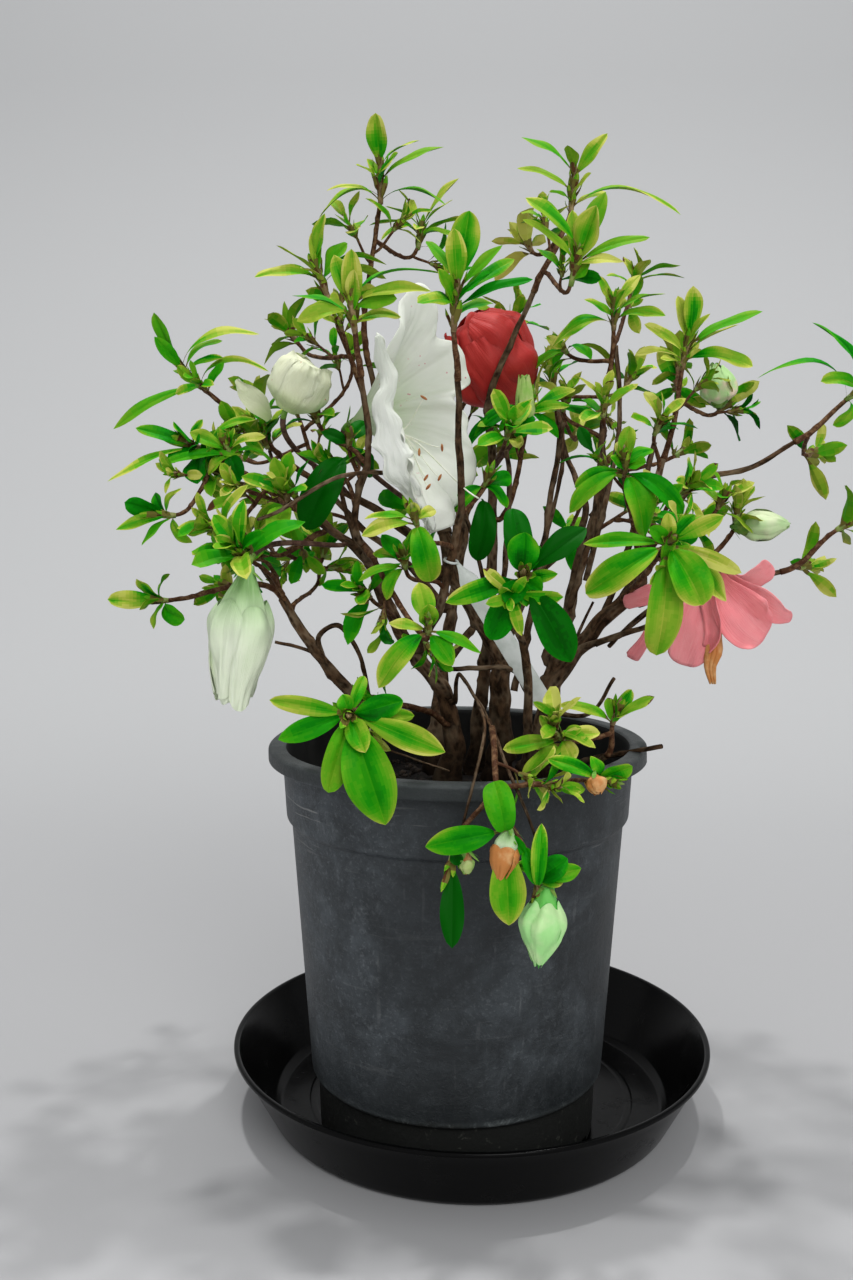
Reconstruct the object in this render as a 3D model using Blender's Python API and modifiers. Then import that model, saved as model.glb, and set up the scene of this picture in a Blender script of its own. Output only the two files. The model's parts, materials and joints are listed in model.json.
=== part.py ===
"""Azalea bonsai in a round nursery pot that stands in a deep saucer.

The origin is the centre of the saucer's flat underside, +Z is up, and -Y is the front.
Stems rise from the soil, each bough grows from a stem or another bough, and each mass of
leaves or bloom grows from one twig that meets its limb with a small clearance.
The tables give places in millimetres; the mesh is in metres.
"""

import math

import bmesh
import bpy
import numpy as np
from mathutils import Matrix, Vector
from mathutils.bvhtree import BVHTree

MM = 0.001
CLEAR = 0.35 * MM
SEED = 41

# Saucer
SAUCER_BASE_RADIUS = 101.5 * MM
SAUCER_RIM_RADIUS = 121.0 * MM
SAUCER_HEIGHT = 36.0 * MM
SAUCER_FLOOR = 2.6 * MM
SAUCER_WALL = 1.9 * MM
SAUCER_LIP = 2.6 * MM
SAUCER_CORNER = 2.4 * MM

# Pot, which stands a little in front of the saucer's centre
POT_PLACE = Vector((-8.0, -25.0, 0.0)) * MM
POT_BASE = SAUCER_FLOOR + CLEAR
POT_TOP = 194.5 * MM
POT_RIM_RADIUS = 90.0 * MM
POT_MOUTH_RADIUS = 81.0 * MM
POT_LIP_DEPTH = 9.0 * MM
POT_LIP_WALL = 2.0 * MM
COLLAR_TOP_RADIUS = 81.8 * MM
COLLAR_LOW_RADIUS = 80.4 * MM
SHOULDER_HEIGHT = 160.0 * MM
BODY_TOP_RADIUS = 78.0 * MM
BODY_LOW_RADIUS = 69.8 * MM
FOOT_HEIGHT = 34.0 * MM
FOOT_RADIUS = 68.2 * MM
FOOT_LOW_RADIUS = 67.2 * MM
POT_WALL = 2.0 * MM
POT_FLOOR_RISE = 3.0 * MM
POT_FOOT_RING = 4.0 * MM
DRAIN_SLOTS = 6
DRAIN_SLOT_SIZE = Vector((17.0, 14.0, 7.0)) * MM
TURNED_STEPS = 28
EDGE = 0.8 * MM

# Soil
SOIL_TOP = 168.0 * MM
STEM_FOOT = SOIL_TOP + CLEAR
SOIL_WALL_GAP = 0.45 * MM

# Plant label, a blank strip that hangs from a twig by its loop
LABEL_ON = "stem_front_tall"
LABEL_AT = 0.34
LABEL_END = Vector((31.0, -52.0, 217.0)) * MM
LABEL_FACES = Vector((0.0, -1.0, 0.15))
LABEL_WIDTH = 9.0 * MM
LABEL_THICKNESS = 0.7 * MM
LABEL_LOOP_WIRE = 0.6 * MM
LABEL_LOOP_STEPS = 8
LABEL_NECK_WIDTH = 1.6 * MM
LABEL_NECK_LENGTH = 9.0 * MM

# Leaves. A whorl leans from nearly square to its twig at its outermost leaf to upright at its
# innermost, and its leaves get shorter inwards.
LEAF_THICKNESS = 0.75 * MM
LEAF_WIDTH_SHARE = 0.47
LEAF_WIDEST_AT = 0.56
LEAF_DROOP_SHARE = 0.10
LEAF_FOLD_SHARE = 0.10
LEAF_ROOT_SUNK = 0.8 * MM
LEAF_SIZES_TRIED = (1.0, 0.82, 0.66)
LEAF_GAP = 0.4 * MM
TIP_BUD_RADIUS = 2.4 * MM
TIP_BUD_LENGTH = 14.0 * MM
WHORL_DEPTH = 7.0 * MM
GOLDEN_TURN = math.radians(137.5)
OUTER_LEAN = math.radians(82)
INNER_LEAN = math.radians(32)
LEAN_VARIES = math.radians(7)
TURN_VARIES = 0.15
INNER_SHORTENING = 0.42
LENGTH_VARIES = (0.88, 1.04)

# Twigs, which are three-cornered, so that their feet reach less far than their radius
LEADER_RADII = (1.5 * MM, 1.0 * MM)
SIDE_TWIG_RADII = (1.1 * MM, 0.9 * MM)
TWIG_FOOT_SHARE = 0.7
LEADER_STEPS = 4
SIDE_TWIG_STEPS = 3
TWIG_HANDLE_SHARE = 0.30
TWIG_FORKS = (0.62, 0.86)
TWIG_BENDS_TRIED = 12
TWIG_BEND = 0.02
TWIG_BEND_GROWS = 0.015

# Stems and boughs: the limb that carries it and how far along that is, the radius at its
# foot and at its tip, and the places that its centre line passes, the last one being its tip.
# A stem that rises from the soil has no carrier, and its first place is its foot there.
LIMBS = {
    "stem_left": (None, 0, 6.0, 3.3, ((-12, -24), (-12, -25, 212), (-28, -27, 235), (-42, -28, 262))),
    "stem_centre": (None, 0, 7.0, 3.6, (
        (13, -6), (14, -5, 218), (12, -2, 234), (-9, 4, 272), (-14, 7, 292))),
    "stem_right": (None, 0, 6.5, 3.8, ((30, -22), (38, -21, 220), (53, -22, 243), (76, -25, 269))),
    "stem_inner": (None, 0, 4.4, 2.2, ((2, 14), (8, 12, 240), (10, 6, 285), (9, 3, 330), (7, 1, 350))),
    "stem_left_low": (None, 0, 4.2, 2.4, (
        (-42, -30), (-56, -32, 214), (-75, -38, 240), (-89, -44, 265))),
    "stem_front": (None, 0, 3.0, 1.8, ((24, -52), (22, -66, 234), (16, -88, 256))),
    "stem_back": (None, 0, 5.0, 2.6, ((-18, 12), (-14, 26, 225), (-6, 48, 268), (-2, 62, 300))),
    "stem_right_upright": ("stem_right", 0.55, 3.8, 2.6, (
        (45, -13, 250), (51, -9, 278), (59, -3, 300))),
    "bough_left": ("stem_left", 1, 3.2, 1.9, ((-49, -34, 280), (-64, -38, 294), (-78, -40, 303))),
    "bough_left_back": ("stem_centre", 0.86, 3.2, 1.8, ((-30, 8, 290), (-52, 8, 306), (-78, 6, 318))),
    "bough_left_top": ("stem_centre", 1, 3.0, 1.6, ((-28, 4, 316), (-42, 0, 338), (-50, -5, 372))),
    "stem_front_tall": ("stem_left", 0.74, 2.6, 1.5, (
        (-16, -42, 264), (-8, -54, 304), (-9, -78, 336), (-10, -94, 360))),
    "bough_front_left": ("bough_left", 0.42, 2.2, 1.4, (
        (-55, -54, 300), (-48, -70, 334), (-50, -88, 362))),
    "bough_right_top": ("stem_inner", 1, 2.1, 1.4, ((10, -3, 366), (17, -8, 382), (27, -16, 405))),
    "bough_right": ("stem_right", 1, 3.4, 2.0, ((79, -20, 288), (82, -16, 304), (90, -11, 328))),
    "bough_right_high": ("stem_right_upright", 1, 2.4, 1.5, ((64, 0, 318), (62, 1, 338), (64, 1, 358))),
    "bough_back_right": ("stem_right_upright", 0.8, 2.3, 1.4, (
        (56, 14, 306), (50, 32, 326), (46, 40, 342))),
    "bough_far_high": ("bough_right", 0.35, 2.2, 1.2, (
        (104, -17, 316), (132, -18, 325), (150, -19, 336))),
    "bough_far_low": ("stem_right", 0.96, 2.4, 1.3, ((95, -31, 270), (118, -32, 271), (142, -33, 276))),
    "bough_front_hanging": ("stem_left", 0.44, 2.3, 1.5, (
        (-8, -46, 230), (0, -72, 222), (5, -96, 215))),
    "bough_rim_right": (None, 0, 2.6, 1.5, ((44, -46), (50, -58, 186), (58, -66, 196))),
    "bough_back_left": ("stem_back", 0.62, 2.8, 1.6, ((-34, 52, 274), (-58, 62, 292), (-76, 66, 312))),
    "bough_back_low": ("stem_back", 0.45, 2.6, 1.6, ((12, 62, 250), (34, 78, 262), (52, 84, 276))),
}
TRUNK_STEMS = {"stem_left", "stem_centre", "stem_right", "stem_inner", "stem_left_low",
               "stem_back"}
TRUNK_STEPS = 8
BOUGH_STEPS = 6
TRUNK_ROUNDNESS = 2
BOUGH_ROUNDNESS = 1
TAPER_POWER = 0.8
FLARE_HEIGHT = 14.0 * MM
FLARE_SHARE = 0.55
STRAIGHT_FOOT = 8.0 * MM
STRAIGHT_FORK = 3.0 * MM
FORK_LEAN = 0.85
BACK_FORK_LEAN = -0.35

# Masses of leaves: the limb that carries the mass and how far along, then one row for each
# twig tip with its place, its number of leaves, the length of its longest leaf, and the
# direction that the tip points in. The first row is the end of the mass's main twig.
MASSES = {
    "leaves_top_left": ("bough_left_top", 1, (
        (-44, -18, 446, 8, 27, (0, 0, 1)),
        (-27, 25, 432, 6, 24, (0.2, 0.3, 1)),
    )),
    "leaves_upper_left": ("bough_left_top", 0.62, (
        (-68, -26, 402, 8, 27, (-0.4, 0, 1)),
        (-86, 10, 385, 6, 24, (-0.6, 0.4, 0.8)),
    )),
    "leaves_front_upper_left": ("bough_front_left", 1, (
        (-52, -98, 380, 8, 28, (-0.1, -0.4, 1)),
    )),
    "leaves_front_upper": ("stem_front_tall", 1, (
        (-12, -108, 380, 8, 28, (0.1, -0.3, 1)),
    )),
    "leaves_left_shoulder": ("bough_left_back", 1, (
        (-129, -18, 362, 9, 30, (-0.7, -0.1, 0.7)),
        (-104, 12, 352, 6, 25, (-0.4, 0.5, 0.8)),
        (-99, -10, 334, 6, 26, (-0.5, -0.4, 0.8)),
    )),
    "leaves_left": ("bough_left", 1, (
        (-126, -36, 333, 8, 27, (-0.9, -0.2, 0.4)),
        (-136, -54, 303, 7, 25, (-1, -0.3, 0.1)),
        (-112, -66, 298, 6, 25, (-0.6, -0.6, 0.2)),
        (-84, -60, 310, 6, 26, (-0.1, -0.7, 0.7)),
    )),
    "leaves_left_inner": ("bough_left", 0.8, (
        (-98, -22, 284, 7, 27, (-0.8, 0.1, 0.3)),
        (-112, 18, 290, 6, 26, (-0.9, 0.5, 0.2)),
        (-74, 8, 280, 6, 26, (0.1, 0.5, 0.8)),
    )),
    "leaves_left_low": ("stem_left_low", 1, (
        (-142, -45, 264, 7, 24, (-1, 0, 0.1)),
        (-112, -30, 262, 5, 22, (-0.6, 0.5, 0.3)),
    )),
    "leaves_front_left_low": ("stem_left", 0.34, (
        (-54, -116, 225, 9, 34, (0, -0.9, 0.1)),
    )),
    "leaves_front_centre": ("stem_front", 1, (
        (15, -124, 281, 10, 35, (0, -0.9, 0.35)),
    )),
    "leaves_front_left": ("bough_front_left", 0.10, (
        (-22, -118, 259, 8, 29, (0, -0.6, 0.6)),
    )),
    "leaves_front_hanging": ("bough_front_hanging", 1, (
        (8, -140, 182, 7, 29, (0.1, -0.5, -0.7)),
        (-12, -134, 172, 3, 27, (-0.2, -0.2, -1)),
        (46, -127, 200, 4, 19, (0.8, -0.5, 0)),
        (21, -142, 163, 1, 20, (0.1, -0.1, -1)),
    )),
    "leaves_rim_right": ("bough_rim_right", 1, (
        (60, -70, 212, 6, 25, (0.3, -0.1, 1)),
        (36, -86, 208, 6, 26, (-0.5, -0.6, 0.5)),
    )),
    "leaves_top_right": ("bough_right_top", 1, (
        (44, -15, 442, 9, 30, (0.1, 0, 1)),
        (40, -58, 404, 7, 30, (0.2, -0.3, 1)),
        (28, 12, 428, 6, 25, (-0.4, 0.5, 0.8)),
    )),
    "leaves_high_right": ("bough_right_high", 1, (
        (66, -6, 390, 8, 27, (0, -0.2, 1)),
        (78, 22, 410, 6, 26, (0.3, 0.3, 1)),
        (46, 14, 380, 5, 24, (-0.5, 0.3, 0.8)),
    )),
    "leaves_right": ("bough_right", 1, (
        (98, -12, 371, 9, 30, (0.2, -0.1, 1)),
        (122, 14, 352, 6, 26, (0.7, 0.4, 0.7)),
        (104, 30, 372, 5, 24, (0.3, 0.7, 0.8)),
    )),
    "leaves_far_right_high": ("bough_far_high", 1, (
        (174, -20, 356, 8, 28, (0.9, 0, 0.6)),
        (164, 6, 330, 6, 25, (0.7, 0.7, 0.2)),
    )),
    "leaves_far_right_low": ("bough_far_low", 1, (
        (167, -36, 296, 7, 28, (0.9, -0.1, 0.5)),
        (158, -10, 276, 5, 24, (0.7, 0.7, 0)),
    )),
    "leaves_right_middle": ("bough_far_low", 0.40, (
        (121, -30, 298, 6, 24, (0.2, 0, 1)),
    )),
    "leaves_right_front": ("bough_right", 0.12, (
        (62, -76, 322, 9, 30, (-0.1, -0.5, 0.8)),
    )),
    "leaves_right_front_low": ("stem_right", 0.93, (
        (76, -102, 293, 9, 32, (0.1, -0.8, 0.3)),
    )),
    "leaves_centre": ("stem_inner", 0.72, (
        (26, -10, 350, 6, 24, (0.2, -0.4, 0.9)),
    )),
    "leaves_back_high": ("stem_back", 1, (
        (-6, 72, 372, 6, 27, (0, 0.3, 1)),
        (22, 54, 398, 5, 25, (0.3, 0.1, 1)),
        (-32, 66, 350, 5, 25, (-0.6, 0.3, 0.7)),
    )),
    "leaves_back_centre": ("stem_back", 0.80, (
        (-4, 102, 318, 6, 28, (0, 1, 0.4)),
        (-30, 94, 300, 5, 26, (-0.5, 0.9, 0.2)),
    )),
    "leaves_back_left_high": ("bough_back_left", 1, (
        (-92, 68, 352, 6, 27, (-0.5, 0.3, 0.9)),
        (-62, 62, 378, 5, 25, (-0.1, 0.2, 1)),
        (-118, 48, 328, 5, 26, (-0.9, 0.3, 0.4)),
    )),
    "leaves_back_left_low": ("bough_back_left", 0.75, (
        (-84, 94, 284, 6, 27, (-0.6, 0.8, 0.1)),
        (-114, 62, 276, 5, 26, (-1, 0.4, 0.1)),
    )),
    "leaves_back_right": ("bough_back_right", 1, (
        (44, 54, 366, 6, 27, (-0.1, 0.3, 1)),
        (82, 58, 366, 5, 26, (0.5, 0.3, 0.9)),
        (60, 86, 340, 5, 26, (0.2, 0.9, 0.5)),
    )),
    "leaves_back_right_low": ("bough_back_low", 1, (
        (88, 84, 300, 6, 28, (0.7, 0.6, 0.4)),
        (58, 108, 286, 5, 27, (0.2, 1, 0.2)),
        (118, 56, 296, 5, 26, (1, 0.3, 0.4)),
    )),
}

# Blooms: the limb and how far along, the place of the bloom's base, the direction that it
# opens in, its form, its widest radius, its length, and its colour.
BLOOMS = {
    "bloom_white_open": ("bough_left_top", 0.12, (-52, -34, 360), (0.8, -0.52, -0.2),
        "open", 56, 46, "white"),
    "bloom_red": ("stem_inner", 0.86, (25, 32, 350), (-0.5, -0.05, 0.86),
        "half", 32, 38, "red"),
    "bloom_pink": ("bough_far_low", 0.46, (112, -52, 280), (-0.22, -0.5, -0.8),
        "wilted", 40, 30, "pink"),
    "bloom_white_closed": ("bough_left", 0.62, (-99, -82, 283), (-0.1, -0.06, -1.0),
        "furled", 14, 61, "green_white"),
    "bud_cream": ("bough_left_back", 0.8, (-86, -46, 350), (0.45, -0.35, 0.8),
        "bud", 12, 26, "cream"),
}

# Leaves of the tips nearest to the front, each with its clock bearing as seen from the front
# (0 is up and 90 is +X), its lean out towards the front in degrees, and its length.
SEEN_LEAVES = {
    ("leaves_front_centre", 0): ((257, 20, 31), (50, 10, 31), (151, 20, 36), (211, 25, 28),
                                 (354, 45, 26), (345, -5, 30), (76, -20, 24), (190, 40, 13)),
    ("leaves_right_front_low", 0): ((236, 15, 36), (268, 0, 33), (190, 25, 30), (148, 15, 29),
                                    (108, 10, 31), (330, 40, 18), (20, 40, 18)),
    ("leaves_right_front", 0): ((235, 15, 30), (127, 15, 27), (166, 20, 28), (266, 5, 22),
                                (351, 10, 24), (33, 20, 18), (75, 0, 20)),
    ("leaves_front_left", 0): ((221, 15, 28), (138, 25, 18), (107, 5, 23), (351, 15, 23),
                               (293, 15, 17), (30, 30, 14)),
    ("leaves_front_left_low", 0): ((285, 10, 33), (256, 20, 29), (109, 15, 38), (160, 25, 38),
                                   (191, 20, 29), (72, 5, 25), (12, 35, 18), (330, 0, 20)),
    ("leaves_front_hanging", 0): ((265, 10, 30), (350, 20, 23), (111, 15, 22), (90, -10, 20),
                                  (205, 0, 22)),
    ("leaves_top_right", 0): ((323, 5, 31), (28, 0, 28), (95, 5, 40), (306, 15, 27),
                              (350, 20, 22), (60, -30, 22)),
    ("leaves_top_left", 0): ((357, 5, 34), (53, 10, 30), (250, 15, 26), (290, -10, 24),
                             (75, -15, 24)),
}

# Flower buds that stand on a tip: their direction, widest radius and length.
BUDS = {
    ("leaves_front_hanging", 0): ((0.1, -0.3, -1), 6.5, 16),
    ("leaves_front_hanging", 3): ((0, -0.1, -1), 8.5, 25),
    ("leaves_right", 1): ((-0.2, -0.3, 1), 8, 20),
    ("leaves_right_middle", 0): ((0.9, -0.3, 0.2), 7, 17),
    ("leaves_centre", 0): ((0.1, -0.2, 1), 5, 20),
}
BUD_STANDS_OFF = 2.0 * MM
PETAL_THICKNESS = 0.9 * MM
BLOOM_TWIG_RADII = (1.4 * MM, 2.6 * MM)
BLOOM_TWIG_STEPS = 5
BLOOM_TWIG_SUNK = 3.0 * MM
THROAT_RADIUS = 2.4 * MM
PETALS = 5
PETAL_NOTCH = 0.16
COROLLA_STEPS = 15
COROLLA_RINGS = 3
RUFFLES = {"open": 0.05, "half": 0.10, "wilted": 0.22}
SPREADS = {"open": 1.0, "half": 0.8, "wilted": 0.9}

# A closed bloom's outline as (share of its length, share of its widest radius)
CLOSED_OUTLINES = {
    "furled": ((0.0, 0.22), (0.22, 0.72), (0.50, 1.0), (0.78, 0.82), (1.0, 0.42)),
    "bud": ((0.0, 0.35), (0.35, 1.0), (0.70, 0.85), (1.0, 0.20)),
}
CLOSED_SIDES = {"furled": 10, "bud": 6}
CLOSED_PLEATS = {"furled": 0.12, "bud": 0.0}

COLOURS = {
    "leaf": (0.09, 0.30, 0.03),
    "bark": (0.075, 0.048, 0.034),
    "pot": (0.045, 0.050, 0.056),
    "saucer": (0.008, 0.008, 0.009),
    "soil": (0.020, 0.013, 0.009),
    "label": (0.70, 0.72, 0.70),
    "white": (0.80, 0.84, 0.76),
    "green_white": (0.66, 0.80, 0.55),
    "cream": (0.74, 0.76, 0.52),
    "red": (0.55, 0.02, 0.015),
    "pink": (0.72, 0.13, 0.15),
}
ROUGHNESS = {"saucer": 0.22, "leaf": 0.45, "bark": 0.9, "soil": 1.0, "pot": 0.6}


# Materials and objects

def material(name):
    """A plain finish of the colour and roughness that the tables give."""
    made = bpy.data.materials.get(name)
    if made is None:
        made = bpy.data.materials.new(name)
        made.use_nodes = True
        shader = made.node_tree.nodes["Principled BSDF"]
        shader.inputs["Base Color"].default_value = (*COLOURS[name], 1.0)
        shader.inputs["Roughness"].default_value = ROUGHNESS.get(name, 0.5)
        shader.inputs["Metallic"].default_value = 0.0
    return made


def add_object(name, data, collection, finish=None):
    """Puts new object data in a collection, with its finish."""
    obj = bpy.data.objects.new(name, data)
    collection.objects.link(obj)
    if finish:
        data.materials.append(material(finish))
    return obj


def hide_helper(obj):
    """Marks an object as a cutter or guide."""
    obj.hide_render = True
    obj.display_type = "WIRE"


def evaluated_mesh(obj):
    """A new mesh of the object as its modifiers and bevel leave it, in world space."""
    bpy.context.view_layer.update()
    graph = bpy.context.evaluated_depsgraph_get()
    mesh = bpy.data.meshes.new_from_object(obj.evaluated_get(graph))
    mesh.transform(obj.matrix_world)
    return mesh


def remove_object(obj):
    """Removes an object and the data that only it used."""
    data = obj.data
    bpy.data.objects.remove(obj)
    if isinstance(data, bpy.types.Mesh) and not data.users:
        bpy.data.meshes.remove(data)
    elif isinstance(data, bpy.types.Curve) and not data.users:
        bpy.data.curves.remove(data)


# Turned pieces

def turned(name, outline, place, collection, finish):
    """Turns an outline of (radius, height) points once round the vertical axis.

    The outline runs up the inside and down the outside, so that its faces look outwards.
    """
    mesh = bpy.data.meshes.new(name)
    corners = [(radius, 0.0, height) for radius, height in outline]
    edges = [(i, i + 1) for i in range(len(corners) - 1)]
    mesh.from_pydata(corners, edges, [])
    obj = add_object(name, mesh, collection, finish)
    obj.location = place
    screw = obj.modifiers.new("turn", "SCREW")
    screw.steps = screw.render_steps = TURNED_STEPS
    screw.use_merge_vertices = True
    screw.merge_threshold = 0.01 * MM
    screw.use_smooth_shade = True
    return obj


def saucer_outline():
    """From the floor's middle out, up the inside, over the lip and down to the underside."""
    wall_foot = SAUCER_BASE_RADIUS - SAUCER_WALL
    wall_top = SAUCER_RIM_RADIUS - SAUCER_WALL
    under_lip = SAUCER_HEIGHT - SAUCER_LIP
    return [
        (0.0, SAUCER_FLOOR),
        (wall_foot - SAUCER_CORNER, SAUCER_FLOOR),
        (wall_foot + SAUCER_CORNER / 2, SAUCER_FLOOR + SAUCER_CORNER),
        (wall_top - 2 * EDGE, SAUCER_HEIGHT - EDGE),
        (wall_top - EDGE / 2, SAUCER_HEIGHT),
        (SAUCER_RIM_RADIUS - EDGE, SAUCER_HEIGHT),
        (SAUCER_RIM_RADIUS, SAUCER_HEIGHT - EDGE),
        (SAUCER_RIM_RADIUS - EDGE / 2, under_lip),
        (SAUCER_RIM_RADIUS - SAUCER_WALL, under_lip - EDGE / 2),
        (SAUCER_BASE_RADIUS + SAUCER_CORNER / 2, SAUCER_CORNER),
        (SAUCER_BASE_RADIUS - SAUCER_CORNER / 2, 0.0),
        (0.0, 0.0),
    ]


def pot_inside():
    """The inner wall from the pot's floor up to its mouth, as (radius, height)."""
    floor = POT_BASE + POT_FLOOR_RISE + POT_WALL
    return [
        (FOOT_LOW_RADIUS - POT_WALL, floor),
        (FOOT_RADIUS - POT_WALL, FOOT_HEIGHT),
        (BODY_TOP_RADIUS - POT_WALL, SHOULDER_HEIGHT - POT_WALL),
        (COLLAR_LOW_RADIUS - POT_WALL, SHOULDER_HEIGHT + POT_WALL),
    ]


def pot_outline():
    """Up the inside, over the turned-down lip, and down the collar, body and foot."""
    inside = pot_inside()
    floor = inside[0][1]
    under_lip = POT_TOP - POT_LIP_DEPTH
    outside = [
        (POT_MOUTH_RADIUS, POT_TOP),
        (POT_RIM_RADIUS - 2 * EDGE, POT_TOP),
        (POT_RIM_RADIUS, POT_TOP - 2 * EDGE),
        (POT_RIM_RADIUS, under_lip),
        (POT_RIM_RADIUS - POT_LIP_WALL, under_lip),
        (COLLAR_TOP_RADIUS, under_lip - EDGE),
        (COLLAR_LOW_RADIUS, SHOULDER_HEIGHT),
        (BODY_TOP_RADIUS, SHOULDER_HEIGHT - 2 * EDGE),
        (BODY_LOW_RADIUS, FOOT_HEIGHT),
        (FOOT_RADIUS, FOOT_HEIGHT - 2 * EDGE),
        (FOOT_LOW_RADIUS, POT_BASE),
        (FOOT_LOW_RADIUS - POT_FOOT_RING, POT_BASE),
        (FOOT_LOW_RADIUS - POT_FOOT_RING - EDGE, POT_BASE + POT_FLOOR_RISE),
        (0.0, POT_BASE + POT_FLOOR_RISE),
    ]
    return [(0.0, floor), *inside, *outside]


def soil_outline():
    """The soil fills the pot's inside, a little clear of its wall, up to a flat top."""
    walls = pot_inside()
    low = walls[-1]
    share = (SOIL_TOP - low[1]) / (POT_TOP - low[1])
    brim = low[0] + share * (POT_MOUTH_RADIUS - low[0])
    filled = [(brim, SOIL_TOP), *reversed(walls)]
    floor = walls[0][1] + CLEAR
    outline = [(radius - SOIL_WALL_GAP, max(height, floor)) for radius, height in filled]
    return [(0.0, SOIL_TOP), *outline, (0.0, floor)]


def cut_drain_slots(pot, cutters):
    """Slots round the pot's foot, where water runs out on to the saucer."""
    for i in range(DRAIN_SLOTS):
        turn = math.tau * (i + 0.5) / DRAIN_SLOTS
        bpy.ops.mesh.primitive_cube_add(size=1.0)
        cutter = bpy.context.object
        cutter.name = f"drain_cutter_{i + 1}"
        cutter.scale = DRAIN_SLOT_SIZE
        cutter.location = POT_PLACE + Vector((
            FOOT_RADIUS * math.cos(turn), FOOT_RADIUS * math.sin(turn), POT_BASE + EDGE))
        cutter.rotation_euler.z = turn + math.pi / 2
        for home in list(cutter.users_collection):
            home.objects.unlink(cutter)
        cutters.objects.link(cutter)
        hide_helper(cutter)
    slots = pot.modifiers.new("drain slots", "BOOLEAN")
    slots.operation = "DIFFERENCE"
    slots.operand_type = "COLLECTION"
    slots.collection = cutters
    slots.solver = "EXACT"


# Limbs

def through(places, steps):
    """Points along a smooth curve through the given places (Catmull-Rom, equal steps)."""
    known = np.array([tuple(place) for place in places])
    ends = np.vstack([2 * known[0] - known[1], known, 2 * known[-1] - known[-2]])
    along = np.linspace(0, len(known) - 1, steps * 8 + 1)
    span = np.minimum(along.astype(int), len(known) - 2)
    t = (along - span)[:, None]
    a, b, c, d = (ends[span + i] for i in range(4))
    fine = 0.5 * (2 * b + (c - a) * t + (2 * a - 5 * b + 4 * c - d) * t**2
                  + (3 * b - a - 3 * c + d) * t**3)
    length = np.concatenate([[0], np.cumsum(np.linalg.norm(np.diff(fine, axis=0), axis=1))])
    wanted = np.linspace(0, length[-1], steps + 1)
    return np.stack([np.interp(wanted, length, fine[:, i]) for i in range(3)], axis=1)


class Limb:
    """A limb's centre line and radii, and where on it another piece can sit."""

    def __init__(self, points, radii):
        self.points = points
        self.radii = radii

    def at(self, share):
        """Place, radius and direction at a share of the limb's length."""
        where = share * (len(self.points) - 1)
        i = min(int(where), len(self.points) - 2)
        part = where - i
        place = (1 - part) * self.points[i] + part * self.points[i + 1]
        radius = (1 - part) * self.radii[i] + part * self.radii[i + 1]
        heading = self.points[i + 1] - self.points[i]
        return Vector(place), radius, Vector(heading).normalized()

    def seat(self, share, towards, foot_radius):
        """Where a piece that goes towards a place leaves the limb, and its first direction.

        At the tip it goes straight on. On the side it leans along the limb, and its flat
        foot stands off far enough that the foot's near edge clears the limb.
        """
        place, radius, heading = self.at(share)
        if share >= 1:
            return place + heading * CLEAR, heading
        away = towards - place
        along = FORK_LEAN if away.dot(heading) > 0 else BACK_FORK_LEAN
        away = (away - heading * away.dot(heading)).normalized()
        leaning = (away + heading * along).normalized()
        stand_off = foot_radius * abs(leaning.dot(heading))
        return place + away * (radius + CLEAR + stand_off), leaning


def tapered(name, points, radii, collection, finish=None, section=None, roundness=1):
    """A curve along the points, with its own radius at each and filled ends."""
    data = bpy.data.curves.new(name, "CURVE")
    data.dimensions = "3D"
    data.use_fill_caps = True
    data.bevel_resolution = roundness
    if section:
        data.bevel_mode = "OBJECT"
        data.bevel_object = section
    else:
        data.bevel_depth = 1.0
    spline = data.splines.new("POLY")
    spline.points.add(len(points) - 1)
    for point, place, radius in zip(spline.points, points, radii):
        point.co = (*place, 1.0)
        point.radius = radius
    return add_object(name, data, collection, finish)


def limb_line(name, limbs):
    """The centre line and radii of a limb: a straight start, then a way through its places."""
    carrier, share, foot_radius, tip_radius, places = LIMBS[name]
    route = [Vector((*place, STEM_FOOT / MM)[:3]) * MM for place in places]
    if carrier is None:
        route.insert(1, route[0] + Vector((0, 0, STRAIGHT_FOOT)))
    else:
        seat, away = limbs[carrier].seat(share, route[0], foot_radius * MM)
        route[:0] = [seat, seat + away * STRAIGHT_FORK]
    steps = TRUNK_STEPS if name in TRUNK_STEMS else BOUGH_STEPS
    points = through(route, steps)
    if carrier is None:
        points[1][:2] = points[0][:2]
    else:
        points[1] = points[0] + np.array(away) * np.linalg.norm(points[1] - points[0])
    along = np.linspace(0, 1, steps + 1)
    radii = (foot_radius + (tip_radius - foot_radius) * along**TAPER_POWER) * MM
    if carrier is None:
        rise = points[:, 2] - points[0, 2]
        radii *= 1 + FLARE_SHARE * np.exp(-rise / FLARE_HEIGHT)
    return points, radii


def grow_limbs(collection):
    """Every stem and bough, in an order that has each carrier before what it carries."""
    limbs = {}
    for name in LIMBS:
        points, radii = limb_line(name, limbs)
        limbs[name] = Limb(points, radii)
        foot = Vector(points[0])
        local = [Vector(point) - foot for point in points]
        roundness = TRUNK_ROUNDNESS if name in TRUNK_STEMS else BOUGH_ROUNDNESS
        obj = tapered(name, local, radii, collection, "bark", roundness=roundness)
        obj.location = foot
    return limbs


# Space that is taken

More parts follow.
